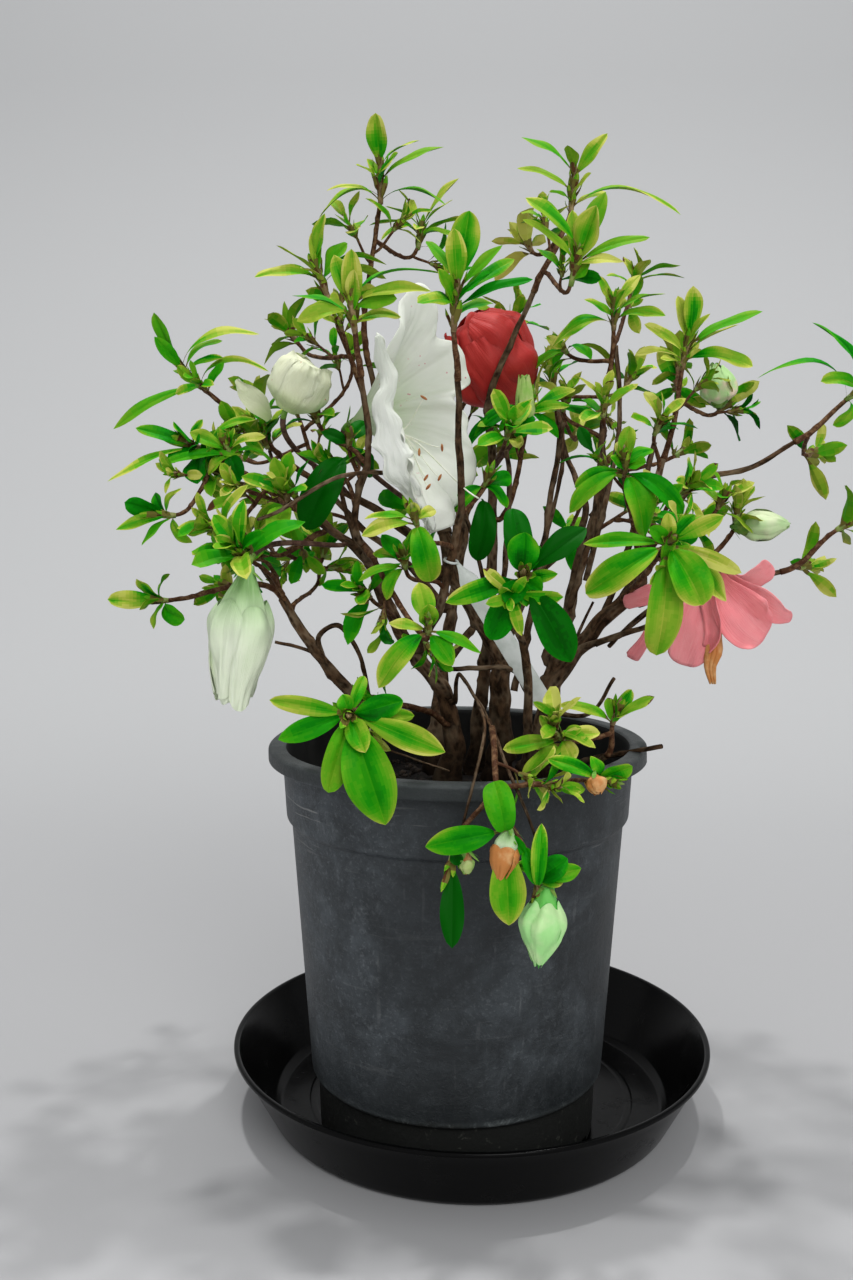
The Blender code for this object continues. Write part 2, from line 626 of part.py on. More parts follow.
class Taken:
    """What already fills the air: the faces of each placed piece and its owner's name."""

    def __init__(self):
        self.pieces = []

    def add(self, owner, mesh):
        places = [vertex.co.copy() for vertex in mesh.vertices]
        faces = [tuple(polygon.vertices) for polygon in mesh.polygons]
        low, high = self.box(places)
        self.pieces.append((owner, BVHTree.FromPolygons(places, faces), low, high))

    def box(self, places):
        corners = np.array([tuple(place) for place in places])
        return corners.min(axis=0), corners.max(axis=0)

    def free(self, owner, mesh):
        """Whether the mesh touches no piece of another owner."""
        places = [vertex.co.copy() for vertex in mesh.vertices]
        faces = [tuple(polygon.vertices) for polygon in mesh.polygons]
        low, high = self.box(places)
        tree = None
        for other, other_tree, other_low, other_high in self.pieces:
            if other == owner or (low > other_high).any() or (high < other_low).any():
                continue
            tree = tree or BVHTree.FromPolygons(places, faces)
            if tree.overlap(other_tree):
                return False
        return True


# Twigs and leaves

def twig_section(collection):
    """The three-cornered section that every twig is drawn with."""
    data = bpy.data.curves.new("twig_section", "CURVE")
    data.dimensions = "2D"
    spline = data.splines.new("POLY")
    spline.points.add(2)
    for i, point in enumerate(spline.points):
        turn = math.tau * i / 3
        point.co = (math.cos(turn), math.sin(turn), 0.0, 1.0)
    spline.use_cyclic_u = True
    section = add_object("twig_section", data, collection)
    hide_helper(section)
    return section


def face_outwards(work):
    """Turns every face of a closed body round if it is inside out."""
    bmesh.ops.recalc_face_normals(work, faces=work.faces)
    if work.calc_volume(signed=True) < 0:
        bmesh.ops.reverse_faces(work, faces=work.faces)


def welded_mesh(obj):
    """The object's finished mesh with its caps joined on, and the object removed."""
    mesh = evaluated_mesh(obj)
    remove_object(obj)
    work = bmesh.new()
    work.from_mesh(mesh)
    bmesh.ops.remove_doubles(work, verts=work.verts, dist=0.002 * MM)
    face_outwards(work)
    work.to_mesh(mesh)
    work.free()
    return mesh


def bezier(start, first, last, end, steps):
    """Points on the cubic curve with these four control points."""
    t = np.linspace(0, 1, steps + 1)[:, None]
    a, b, c, d = (np.array(tuple(v)) for v in (start, first, last, end))
    return a * (1 - t)**3 + 3 * b * t * (1 - t)**2 + 3 * c * t**2 * (1 - t) + d * t**3


def twig_line(start, away, end, heading, bend, steps):
    """A twig leaves its seat squarely, bows by the bend, and ends along the heading."""
    length = (end - start).length
    handle = TWIG_HANDLE_SHARE * length
    first = start + away * handle + bend * length
    last = end - heading * handle + bend * length
    points = bezier(start, first, last, end, steps)
    points[1] = points[0] + np.array(away) * np.linalg.norm(points[1] - points[0])
    return points


def leaf_mesh(base, heading, up, length, width, thickness):
    """A leaf of eight faces: root, tip, two edges, and a top and bottom at its midrib.

    It starts as a round body with poles at its root and tip and four corners between them.
    Its edges are folded up from the midrib, and it droops towards its tip.
    """
    mesh = bpy.data.meshes.new("leaf")
    work = bmesh.new()
    bmesh.ops.create_uvsphere(work, u_segments=4, v_segments=2, radius=1.0)
    side = heading.cross(up).normalized()
    up = side.cross(heading)
    for vertex in work.verts:
        across, above, along = vertex.co
        if abs(along) > 0.5:
            share = 1.0 if along > 0 else 0.0
            across = above = 0.0
        else:
            share = LEAF_WIDEST_AT
        rise = (LEAF_FOLD_SHARE * width * abs(across) - LEAF_DROOP_SHARE * length * share**2
                + above * thickness / 2)
        vertex.co = base + heading * share * length + side * across * width / 2 + up * rise
    face_outwards(work)
    work.to_mesh(mesh)
    work.free()
    return mesh


def tip_bud_mesh(tip, heading, radius, length):
    """The small bud at a twig's tip, which the leaf roots are sunk in."""
    mesh = bpy.data.meshes.new("tip_bud")
    turn = heading.to_track_quat("Z", "Y").to_matrix().to_4x4()
    work = bmesh.new()
    bmesh.ops.create_uvsphere(work, u_segments=4, v_segments=2, radius=1.0)
    bmesh.ops.scale(work, vec=(radius, radius, length / 2), verts=work.verts)
    bmesh.ops.transform(work, matrix=Matrix.Translation(tip) @ turn, verts=work.verts)
    face_outwards(work)
    work.to_mesh(mesh)
    work.free()
    return mesh


class Mass:
    """One mass of leaves: its twigs and leaves as separate closed meshes, then one solid."""

    def __init__(self, name, limbs, taken, section, workshop):
        self.name = name
        self.limb, self.share, self.rows = MASSES[name]
        self.limbs, self.taken = limbs, taken
        self.section, self.workshop = section, workshop
        self.rng = np.random.default_rng([SEED, list(MASSES).index(name)])
        self.meshes = []
        self.tips = []

    def place_twig(self, start, away, end, heading, radii, steps):
        """Tries bends until the twig touches nothing of another piece."""
        for attempt in range(TWIG_BENDS_TRIED):
            bend = Vector(self.rng.normal(0, TWIG_BEND + TWIG_BEND_GROWS * attempt, 3))
            points = twig_line(start, away, end, heading, bend, steps)
            wide = np.linspace(*radii, steps + 1)
            fat = wide + LEAF_GAP
            fat[0] = wide[0]
            probe = welded_mesh(tapered("probe", points, fat, self.workshop,
                                        section=self.section))
            if self.taken.free(self.name, probe):
                bpy.data.meshes.remove(probe)
                twig = tapered("twig", points, wide, self.workshop, section=self.section)
                mesh = welded_mesh(twig)
                self.meshes.append(mesh)
                self.taken.add(self.name, mesh)
                return Limb(points, wide)
            bpy.data.meshes.remove(probe)
        return None

    def grow_twigs(self):
        """The main twig from the limb to the first tip, then one twig from it to each other."""
        places = [Vector(row[:3]) * MM for row in self.rows]
        headings = [Vector(row[5]).normalized() for row in self.rows]
        seat, away = self.limbs[self.limb].seat(self.share, places[0],
                                                 LEADER_RADII[0] * TWIG_FOOT_SHARE)
        leader = self.place_twig(seat, away, places[0], headings[0], LEADER_RADII,
                                 LEADER_STEPS)
        if leader is None:
            raise RuntimeError(f"{self.name}: its main twig finds no free way")
        self.seat = seat
        for i, (place, heading) in enumerate(zip(places, headings)):
            if i > 0:
                near = min(leader.points[1:-1], key=lambda point: (Vector(point) - place).length)
                fork = float(self.rng.uniform(*TWIG_FORKS))
                index = int(np.argmin(np.linalg.norm(leader.points - near, axis=1)))
                joint, _, _ = leader.at(min(fork, max(0.25, index / LEADER_STEPS)))
                first = (place - joint).normalized()
                twig = self.place_twig(joint, first, place, heading, SIDE_TWIG_RADII,
                                       SIDE_TWIG_STEPS)
                if twig is None:
                    print(f"{self.name}: twig {i + 1} is left out")
                    continue
            self.tips.append((i, place, heading, self.rows[i][3], self.rows[i][4] * MM))
            self.add_bud(tip_bud_mesh(place, heading, TIP_BUD_RADIUS, TIP_BUD_LENGTH))
            if (self.name, i) in BUDS:
                aim, radius, length = BUDS[self.name, i]
                aim = Vector(aim).normalized()
                self.add_bud(closed_bloom_mesh(place + aim * BUD_STANDS_OFF, aim, "bud",
                                               radius * MM, length * MM))

    def add_bud(self, bud):
        self.meshes.append(bud)
        self.taken.add(self.name, bud)

    def in_own_space(self, tip, mesh, rivals):
        """Whether every corner is nearer to its own tip than to any tip of another mass."""
        for rival in rivals:
            across = rival - tip
            middle = tip + across / 2
            across.normalize()
            if any((v.co - middle).dot(across) > -LEAF_GAP for v in mesh.vertices):
                return False
        return True

    def grow_leaves(self, rivals):
        """A whorl of leaves round each tip, turning by the golden angle from the outermost in."""
        for row, tip, heading, count, longest in self.tips:
            side = heading.orthogonal().normalized()
            turn = float(self.rng.uniform(0, math.tau))
            aims = SEEN_LEAVES.get((self.name, row), ())
            for i, (clock, lean, length) in enumerate(aims):
                clock, lean = math.radians(clock), math.radians(lean)
                aim = Vector((math.sin(clock) * math.cos(lean), -math.sin(lean),
                              math.cos(clock) * math.cos(lean)))
                root = tip + heading * WHORL_DEPTH * (i / len(aims) - 0.5)
                self.place_leaf(tip, root, heading, aim, length * MM, rivals)
            count -= len(aims)
            for i in range(count):
                inner = i / max(1, count - 1)
                lean = (OUTER_LEAN + (INNER_LEAN - OUTER_LEAN) * inner
                        + float(self.rng.normal(0, LEAN_VARIES)))
                spin = turn + i * GOLDEN_TURN + float(self.rng.normal(0, TURN_VARIES))
                outward = Matrix.Rotation(spin, 3, heading) @ side
                aim = heading * math.cos(lean) + outward * math.sin(lean)
                length = longest * (1 - INNER_SHORTENING * inner)
                length *= float(self.rng.uniform(*LENGTH_VARIES))
                root = tip + heading * WHORL_DEPTH * (inner - 0.5)
                self.place_leaf(tip, root, heading, aim, length, rivals)

    def place_leaf(self, tip, root, heading, aim, length, rivals):
        """Adds the leaf, or a shorter one, or none where its space is taken."""
        near = [rival for rival in rivals if (rival - tip).length < 2 * length + WHORL_DEPTH]
        base = root - aim * LEAF_ROOT_SUNK
        for size in LEAF_SIZES_TRIED:
            long = length * size + LEAF_ROOT_SUNK
            wide = length * size * LEAF_WIDTH_SHARE
            fat = leaf_mesh(base, aim, heading, long + LEAF_GAP, wide + 2 * LEAF_GAP,
                            LEAF_THICKNESS + 2 * LEAF_GAP)
            free = self.in_own_space(tip, fat, near) and self.taken.free(self.name, fat)
            bpy.data.meshes.remove(fat)
            if free:
                leaf = leaf_mesh(base, aim, heading, long, wide, LEAF_THICKNESS)
                self.meshes.append(leaf)
                self.taken.add(self.name, leaf)
                return


# Blooms

def corolla_mesh(place, heading, form, radius, length, seed):
    """The open surface of a funnel of five joined petals.

    At a share s of the way out, the wall stands at radius r0 + (R - r0) * s^1.6 and at depth
    L * (1 - (1 - s)^1.5), and the edge's lobes and ruffles grow with s^2.
    """
    rng = np.random.default_rng([SEED, seed])
    s, turn = np.meshgrid(np.linspace(0, 1, COROLLA_RINGS + 1),
                          math.tau * np.arange(COROLLA_STEPS) / COROLLA_STEPS, indexing="ij")
    notch = PETAL_NOTCH * (1 - np.cos(PETALS * turn)) * s**2
    ruffle = rng.normal(0, RUFFLES[form], (1, COROLLA_STEPS)) * s**2
    flare = (radius - THROAT_RADIUS) * SPREADS[form] * s**1.6
    wide = THROAT_RADIUS + flare * (1 - notch) * (1 + ruffle)
    deep = length * (1 - (1 - s)**1.5) * (1 - PETAL_NOTCH * s**3) + 0.6 * radius * ruffle
    corners = np.stack([wide * np.cos(turn), wide * np.sin(turn), deep], axis=-1)
    index = np.arange(s.size).reshape(s.shape)
    ahead = np.roll(index, -1, axis=1)
    faces = np.stack([index[:-1], ahead[:-1], ahead[1:], index[1:]], axis=-1)
    mesh = bpy.data.meshes.new("corolla")
    mesh.from_pydata(corners.reshape(-1, 3).tolist(), [], faces.reshape(-1, 4).tolist())
    turn_to = heading.to_track_quat("Z", "Y").to_matrix().to_4x4()
    mesh.transform(Matrix.Translation(place) @ turn_to)
    return mesh


def closed_bloom_mesh(place, heading, form, radius, length):
    """A closed bloom or bud: rings of pleated petals from base to mouth, with closed ends."""
    around = CLOSED_SIDES[form]
    work = bmesh.new()
    rings = []
    for along, wide in CLOSED_OUTLINES[form]:
        ring = []
        for i in range(around):
            turn = math.tau * i / around
            pleat = 1.0 - CLOSED_PLEATS[form] * along * (-1)**i
            reach = radius * wide * pleat
            ring.append(work.verts.new((reach * math.cos(turn), reach * math.sin(turn),
                                        along * length)))
        rings.append(ring)
    for low, high in zip(rings, rings[1:]):
        for i in range(around):
            j = (i + 1) % around
            work.faces.new((low[i], low[j], high[j], high[i]))
    work.faces.new(list(reversed(rings[0])))
    work.faces.new(rings[-1])
    face_outwards(work)
    mesh = bpy.data.meshes.new("closed_bloom")
    work.to_mesh(mesh)
    work.free()
    turn_to = heading.to_track_quat("Z", "Y").to_matrix().to_4x4()
    mesh.transform(Matrix.Translation(place) @ turn_to)
    return mesh


def bloom_body(name, place, heading, form, radius, length, collection):
    """The bloom's closed mesh: a solidified corolla, or a closed bud."""
    if form in CLOSED_OUTLINES:
        return closed_bloom_mesh(place, heading, form, radius, length)
    seed = len(MASSES) + list(BLOOMS).index(name)
    petals = corolla_mesh(place, heading, form, radius, length, seed)
    shell = add_object(name + "_shell", petals, collection)
    wall = shell.modifiers.new("petal thickness", "SOLIDIFY")
    wall.thickness = PETAL_THICKNESS
    wall.offset = 0.0
    mesh = evaluated_mesh(shell)
    remove_object(shell)
    return mesh


def bloom_twig(name, limbs, section, collection):
    """The twig that carries a bloom, thickening to the bloom's base, and its seat."""
    limb, share, base, heading = BLOOMS[name][:4]
    place, heading = Vector(base) * MM, Vector(heading).normalized()
    seat, away = limbs[limb].seat(share, place, BLOOM_TWIG_RADII[0] * TWIG_FOOT_SHARE)
    end = place + heading * BLOOM_TWIG_SUNK
    points = twig_line(seat, away, end, heading, Vector(), BLOOM_TWIG_STEPS)
    wide = np.linspace(*BLOOM_TWIG_RADII, BLOOM_TWIG_STEPS + 1)
    return welded_mesh(tapered("twig", points, wide, collection, section=section)), seat


# Joining

def largest_body(mesh):
    """Keeps the body with the most faces, so that sealed hollows and scraps go."""
    work = bmesh.new()
    work.from_mesh(mesh)
    waiting = set(work.faces)
    bodies = []
    while waiting:
        front = [waiting.pop()]
        body = list(front)
        while front:
            face = front.pop()
            for edge in face.edges:
                for other in edge.link_faces:
                    if other in waiting:
                        waiting.discard(other)
                        front.append(other)
                        body.append(other)
        bodies.append(body)
    if len(bodies) > 1:
        bodies.sort(key=len)
        scraps = [face for body in bodies[:-1] for face in body]
        bmesh.ops.delete(work, geom=scraps, context="FACES")
    work.to_mesh(mesh)
    work.free()


def joined(name, meshes, seat, home, workshop, finish):
    """One solid from closed meshes that overlap, with its origin at its seat."""
    base = add_object(name, meshes[0], home, finish)
    for mesh in meshes[1:]:
        add_object(name + "_piece", mesh, workshop)
    union = base.modifiers.new("join", "BOOLEAN")
    union.operation = "UNION"
    union.operand_type = "COLLECTION"
    union.collection = workshop
    union.solver = "MANIFOLD"
    mesh = evaluated_mesh(base)
    base.modifiers.clear()
    old = base.data
    base.data = mesh
    bpy.data.meshes.remove(old)
    for piece in list(workshop.objects):
        remove_object(piece)
    largest_body(mesh)
    mesh.materials.clear()
    mesh.materials.append(material(finish))
    mesh.transform(Matrix.Translation(-seat))
    mesh.name = name
    base.location = seat
    return base


# Label

def label_meshes(limbs, workshop):
    """The loop round its twig, and the flat strip that hangs from the loop."""
    place, radius, heading = limbs[LABEL_ON].at(LABEL_AT)
    ring_radius = radius + CLEAR + LABEL_LOOP_WIRE
    ring = bpy.data.curves.new("loop", "CURVE")
    ring.dimensions = "3D"
    ring.bevel_depth = LABEL_LOOP_WIRE
    ring.bevel_resolution = 0
    spline = ring.splines.new("POLY")
    spline.points.add(LABEL_LOOP_STEPS - 1)
    turned_to = heading.to_track_quat("Z", "Y").to_matrix()
    for i, point in enumerate(spline.points):
        turn = math.tau * i / LABEL_LOOP_STEPS
        spot = Vector((math.cos(turn), math.sin(turn), 0.0)) * ring_radius
        point.co = (*(place + turned_to @ spot), 1.0)
    spline.use_cyclic_u = True
    loop = welded_mesh(add_object("loop", ring, workshop))
    hang = LABEL_END - place
    side = (hang - heading * hang.dot(heading)).normalized()
    top = place + side * ring_radius
    down = (LABEL_END - top).normalized()
    length = (LABEL_END - top).length
    across = down.cross(LABEL_FACES).normalized()
    half, neck = LABEL_WIDTH / 2, LABEL_NECK_WIDTH / 2
    outline = bpy.data.curves.new("strip", "CURVE")
    outline.dimensions = "2D"
    outline.fill_mode = "BOTH"
    outline.extrude = LABEL_THICKNESS / 2
    shape = ((neck, 0.0), (half, LABEL_NECK_LENGTH), (half, length), (-half, length),
             (-half, LABEL_NECK_LENGTH), (-neck, 0.0))
    edge = outline.splines.new("POLY")
    edge.points.add(len(shape) - 1)
    for point, (x, y) in zip(edge.points, shape):
        point.co = (x, y, 0.0, 1.0)
    edge.use_cyclic_u = True
    strip = add_object("strip", outline, workshop)
    axes = Matrix((across, down, across.cross(down))).transposed().to_4x4()
    strip.matrix_world = Matrix.Translation(top) @ axes
    return [welded_mesh(strip), loop], top


# The whole plant

def build():
    for obj in list(bpy.data.objects):
        bpy.data.objects.remove(obj)
    scene = bpy.context.scene.collection
    home, cutters, workshop, guides = (bpy.data.collections.new(name) for name in (
        "azalea_bonsai", "drain_cutters", "workshop", "guides"))
    for collection in (home, cutters, workshop, guides):
        scene.children.link(collection)

    turned("saucer", saucer_outline(), Vector(), home, "saucer")
    pot = turned("pot", pot_outline(), POT_PLACE, home, "pot")
    cut_drain_slots(pot, cutters)
    turned("soil", soil_outline(), POT_PLACE, home, "soil")
    limbs = grow_limbs(home)
    taken = Taken()
    for obj in list(home.objects):
        taken.add(obj.name, evaluated_mesh(obj))

    section = twig_section(guides)
    meshes, seat = label_meshes(limbs, workshop)
    label = joined("plant_label", meshes, seat, home, workshop, "label")
    taken.add(label.name, evaluated_mesh(label))

    bodies = {}
    for name, (_, _, base, heading, form, radius, length, _) in BLOOMS.items():
        bodies[name] = bloom_body(name, Vector(base) * MM, Vector(heading).normalized(), form,
                                  radius * MM, length * MM, workshop)
        taken.add(name, bodies[name])
    for name in BLOOMS:
        stem, seat = bloom_twig(name, limbs, section, workshop)
        if not taken.free(name, stem):
            print(f"{name}: its twig touches another piece")
        taken.add(name, stem)
        joined(name, [bodies[name], stem], seat, home, workshop, BLOOMS[name][-1])

    masses = [Mass(name, limbs, taken, section, workshop) for name in MASSES]
    for mass in masses:
        mass.grow_twigs()
    for mass in masses:
        rivals = [tip[1] for other in masses if other is not mass for tip in other.tips]
        mass.grow_leaves(rivals)
    for mass in masses:
        joined(mass.name, mass.meshes, mass.seat, home, workshop, "leaf")

    plant = bpy.data.objects.new("azalea_bonsai", None)
    home.objects.link(plant)
    for obj in home.objects:
        if obj is not plant:
            obj.parent = plant


build()
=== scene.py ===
"""The azalea's looks: stems, twigs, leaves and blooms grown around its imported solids.

Everything is in metres, +Z is up and -Y is the front. The tables give places in millimetres,
as the source of the solids does, and the growing rule is the same one, carried further.
"""

import functools
import json
import math

import bmesh
import bpy
import numpy as np
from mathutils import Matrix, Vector

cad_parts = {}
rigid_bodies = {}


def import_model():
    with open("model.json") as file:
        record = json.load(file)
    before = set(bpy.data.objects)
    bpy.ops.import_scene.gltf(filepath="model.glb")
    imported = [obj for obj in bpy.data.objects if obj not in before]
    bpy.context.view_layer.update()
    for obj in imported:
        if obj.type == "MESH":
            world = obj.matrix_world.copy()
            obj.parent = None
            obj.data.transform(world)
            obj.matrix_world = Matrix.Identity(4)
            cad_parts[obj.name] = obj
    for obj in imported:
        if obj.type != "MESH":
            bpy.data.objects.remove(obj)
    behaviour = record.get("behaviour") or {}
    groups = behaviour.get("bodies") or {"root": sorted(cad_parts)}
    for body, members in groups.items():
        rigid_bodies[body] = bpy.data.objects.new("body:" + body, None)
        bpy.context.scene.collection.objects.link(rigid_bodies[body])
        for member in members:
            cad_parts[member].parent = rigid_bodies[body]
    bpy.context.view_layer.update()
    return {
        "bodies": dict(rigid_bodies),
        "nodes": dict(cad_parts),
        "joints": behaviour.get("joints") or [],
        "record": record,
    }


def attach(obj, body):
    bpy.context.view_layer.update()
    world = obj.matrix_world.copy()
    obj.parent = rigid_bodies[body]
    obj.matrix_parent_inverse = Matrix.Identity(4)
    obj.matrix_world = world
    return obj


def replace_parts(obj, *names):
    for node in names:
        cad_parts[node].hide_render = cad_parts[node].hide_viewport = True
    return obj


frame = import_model()

MM = 0.001
CLEAR = 0.35 * MM
SEED = 41
GOLDEN_TURN = math.radians(137.5)
UP = np.array([0.0, 0.0, 1.0])

# Camera, as the photograph was taken
CAMERA_PLACE = (-0.0228, -0.635, 0.3268)
CAMERA_TILT = math.pi / 2 - 0.1367
CAMERA_LENS = 36.41

# Pot and saucer
SAUCER_BASE_RADIUS, SAUCER_RIM_RADIUS = 101.5 * MM, 121.0 * MM
SAUCER_HEIGHT, SAUCER_FLOOR, SAUCER_WALL, SAUCER_LIP = 36.0 * MM, 2.6 * MM, 1.9 * MM, 2.6 * MM
SAUCER_CORNER = 2.4 * MM
FLOOR_RINGS, FLOOR_RING_HEIGHT = (0.80, 0.42), 0.25 * MM
POT_PLACE = np.array([-8.0, -25.0, 0.0]) * MM
POT_BASE, POT_TOP = SAUCER_FLOOR + CLEAR, 194.5 * MM
POT_RIM_RADIUS, POT_MOUTH_RADIUS, POT_LIP_DEPTH = 90.0 * MM, 81.0 * MM, 6.8 * MM
COLLAR_TOP_RADIUS, COLLAR_LOW_RADIUS, SHOULDER_HEIGHT = 81.8 * MM, 80.4 * MM, 160.0 * MM
BODY_TOP_RADIUS, BODY_LOW_RADIUS = 78.0 * MM, 69.8 * MM
FOOT_HEIGHT, FOOT_RADIUS, FOOT_LOW_RADIUS = 34.0 * MM, 68.2 * MM, 67.2 * MM
POT_WALL, POT_FLOOR_RISE, POT_FOOT_RING = 2.0 * MM, 3.0 * MM, 4.0 * MM
DRAIN_SLOTS, DRAIN_SLOT_WIDTH, DRAIN_SLOT_HEIGHT = 6, 17.0 * MM, 3.6 * MM
# How much fuller the body and the collar are outside, and the chip in the lip: its
# bearing and reach in radians, and how far it goes in and down
POT_FULLER = 1.4 * MM
CHIP_TURN, CHIP_REACH, CHIP_SHARE, CHIP_DEPTH = -0.155, 0.060, 0.030, 3.0 * MM
SOIL_TOP, SOIL_RADIUS, SOIL_CROWN, CRUMBS = 168.0 * MM, 79.0 * MM, 3.0 * MM, 900
STEM_FOOT = SOIL_TOP + CLEAR

# Stems and boughs: the limb that carries it and how far along that is, the radius at its
# foot and at its tip, and the places that its centre line passes.
LIMBS = {
    "stem_left": (None, 0, 6.0, 3.3, ((-12, -24), (-12, -25, 212), (-28, -27, 235), (-42, -28, 262))),
    "stem_centre": (None, 0, 7.0, 3.6, (
        (13, -6), (14, -5, 218), (12, -2, 234), (-9, 4, 272), (-14, 7, 292))),
    "stem_right": (None, 0, 6.5, 3.8, ((30, -22), (38, -21, 220), (53, -22, 243), (76, -25, 269))),
    "stem_inner": (None, 0, 4.4, 2.2, (
        (2, 14), (8, 12, 240), (10, 6, 285), (9, 3, 330), (7, 1, 350))),
    "stem_left_low": (None, 0, 4.2, 2.4, (
        (-42, -30), (-56, -32, 214), (-75, -38, 240), (-89, -44, 265))),
    "stem_front": (None, 0, 3.0, 1.8, ((24, -52), (22, -66, 234), (16, -88, 256))),
    "stem_back": (None, 0, 5.0, 2.6, ((-18, 12), (-14, 26, 225), (-6, 48, 268), (-2, 62, 300))),
    "stem_right_upright": ("stem_right", 0.55, 3.8, 2.6, (
        (45, -13, 250), (51, -9, 278), (59, -3, 300))),
    "bough_left": ("stem_left", 1, 3.2, 1.9, ((-49, -34, 280), (-64, -38, 294), (-78, -40, 303))),
    "bough_left_back": ("stem_centre", 0.86, 3.2, 1.8, (
        (-30, 8, 290), (-52, 8, 306), (-78, 6, 318))),
    "bough_left_top": ("stem_centre", 1, 3.0, 1.6, (
        (-28, 4, 316), (-42, 0, 338), (-50, -5, 372))),
    "stem_front_tall": ("stem_left", 0.74, 2.6, 1.5, (
        (-16, -42, 264), (-8, -54, 304), (-9, -78, 336), (-10, -94, 360))),
    "bough_front_left": ("bough_left", 0.42, 2.2, 1.4, (
        (-55, -54, 300), (-48, -70, 334), (-50, -88, 362))),
    "bough_right_top": ("stem_inner", 1, 2.1, 1.4, ((10, -3, 366), (17, -8, 382), (27, -16, 405))),
    "bough_right": ("stem_right", 1, 3.4, 2.0, ((79, -20, 288), (82, -16, 304), (90, -11, 328))),
    "bough_right_high": ("stem_right_upright", 1, 2.4, 1.5, (
        (64, 0, 318), (62, 1, 338), (64, 1, 358))),
    "bough_back_right": ("stem_right_upright", 0.8, 2.3, 1.4, (
        (56, 14, 306), (50, 32, 326), (46, 40, 342))),
    "bough_far_high": ("bough_right", 0.35, 2.2, 1.2, (
        (104, -17, 316), (132, -18, 325), (150, -19, 336))),
    "bough_far_low": ("stem_right", 0.96, 2.4, 1.3, (
        (95, -31, 270), (118, -32, 271), (142, -33, 276))),
    "bough_front_hanging": ("stem_left", 0.44, 2.3, 1.5, (
        (-8, -46, 230), (0, -72, 222), (5, -96, 215))),
    "bough_rim_right": (None, 0, 2.6, 1.5, ((44, -46), (50, -58, 186), (58, -66, 196))),
    "bough_back_left": ("stem_back", 0.62, 2.8, 1.6, (
        (-34, 52, 274), (-58, 62, 292), (-76, 66, 312))),
    "bough_back_low": ("stem_back", 0.45, 2.6, 1.6, ((12, 62, 250), (34, 78, 262), (52, 84, 276))),
}
TAPER_POWER = 0.8
FLARE_HEIGHT, FLARE_SHARE = 14.0 * MM, 0.55
STRAIGHT_FOOT, STRAIGHT_FORK = 8.0 * MM, 3.0 * MM
FORK_LEAN, BACK_FORK_LEAN = 0.85, -0.35
STEM_BURIED = 9.0 * MM
BARK_SLIMMER = 0.88
THIN_BOUGHS = {"bough_front_hanging": 0.5}
BARE_TWIG_SIDES = 9

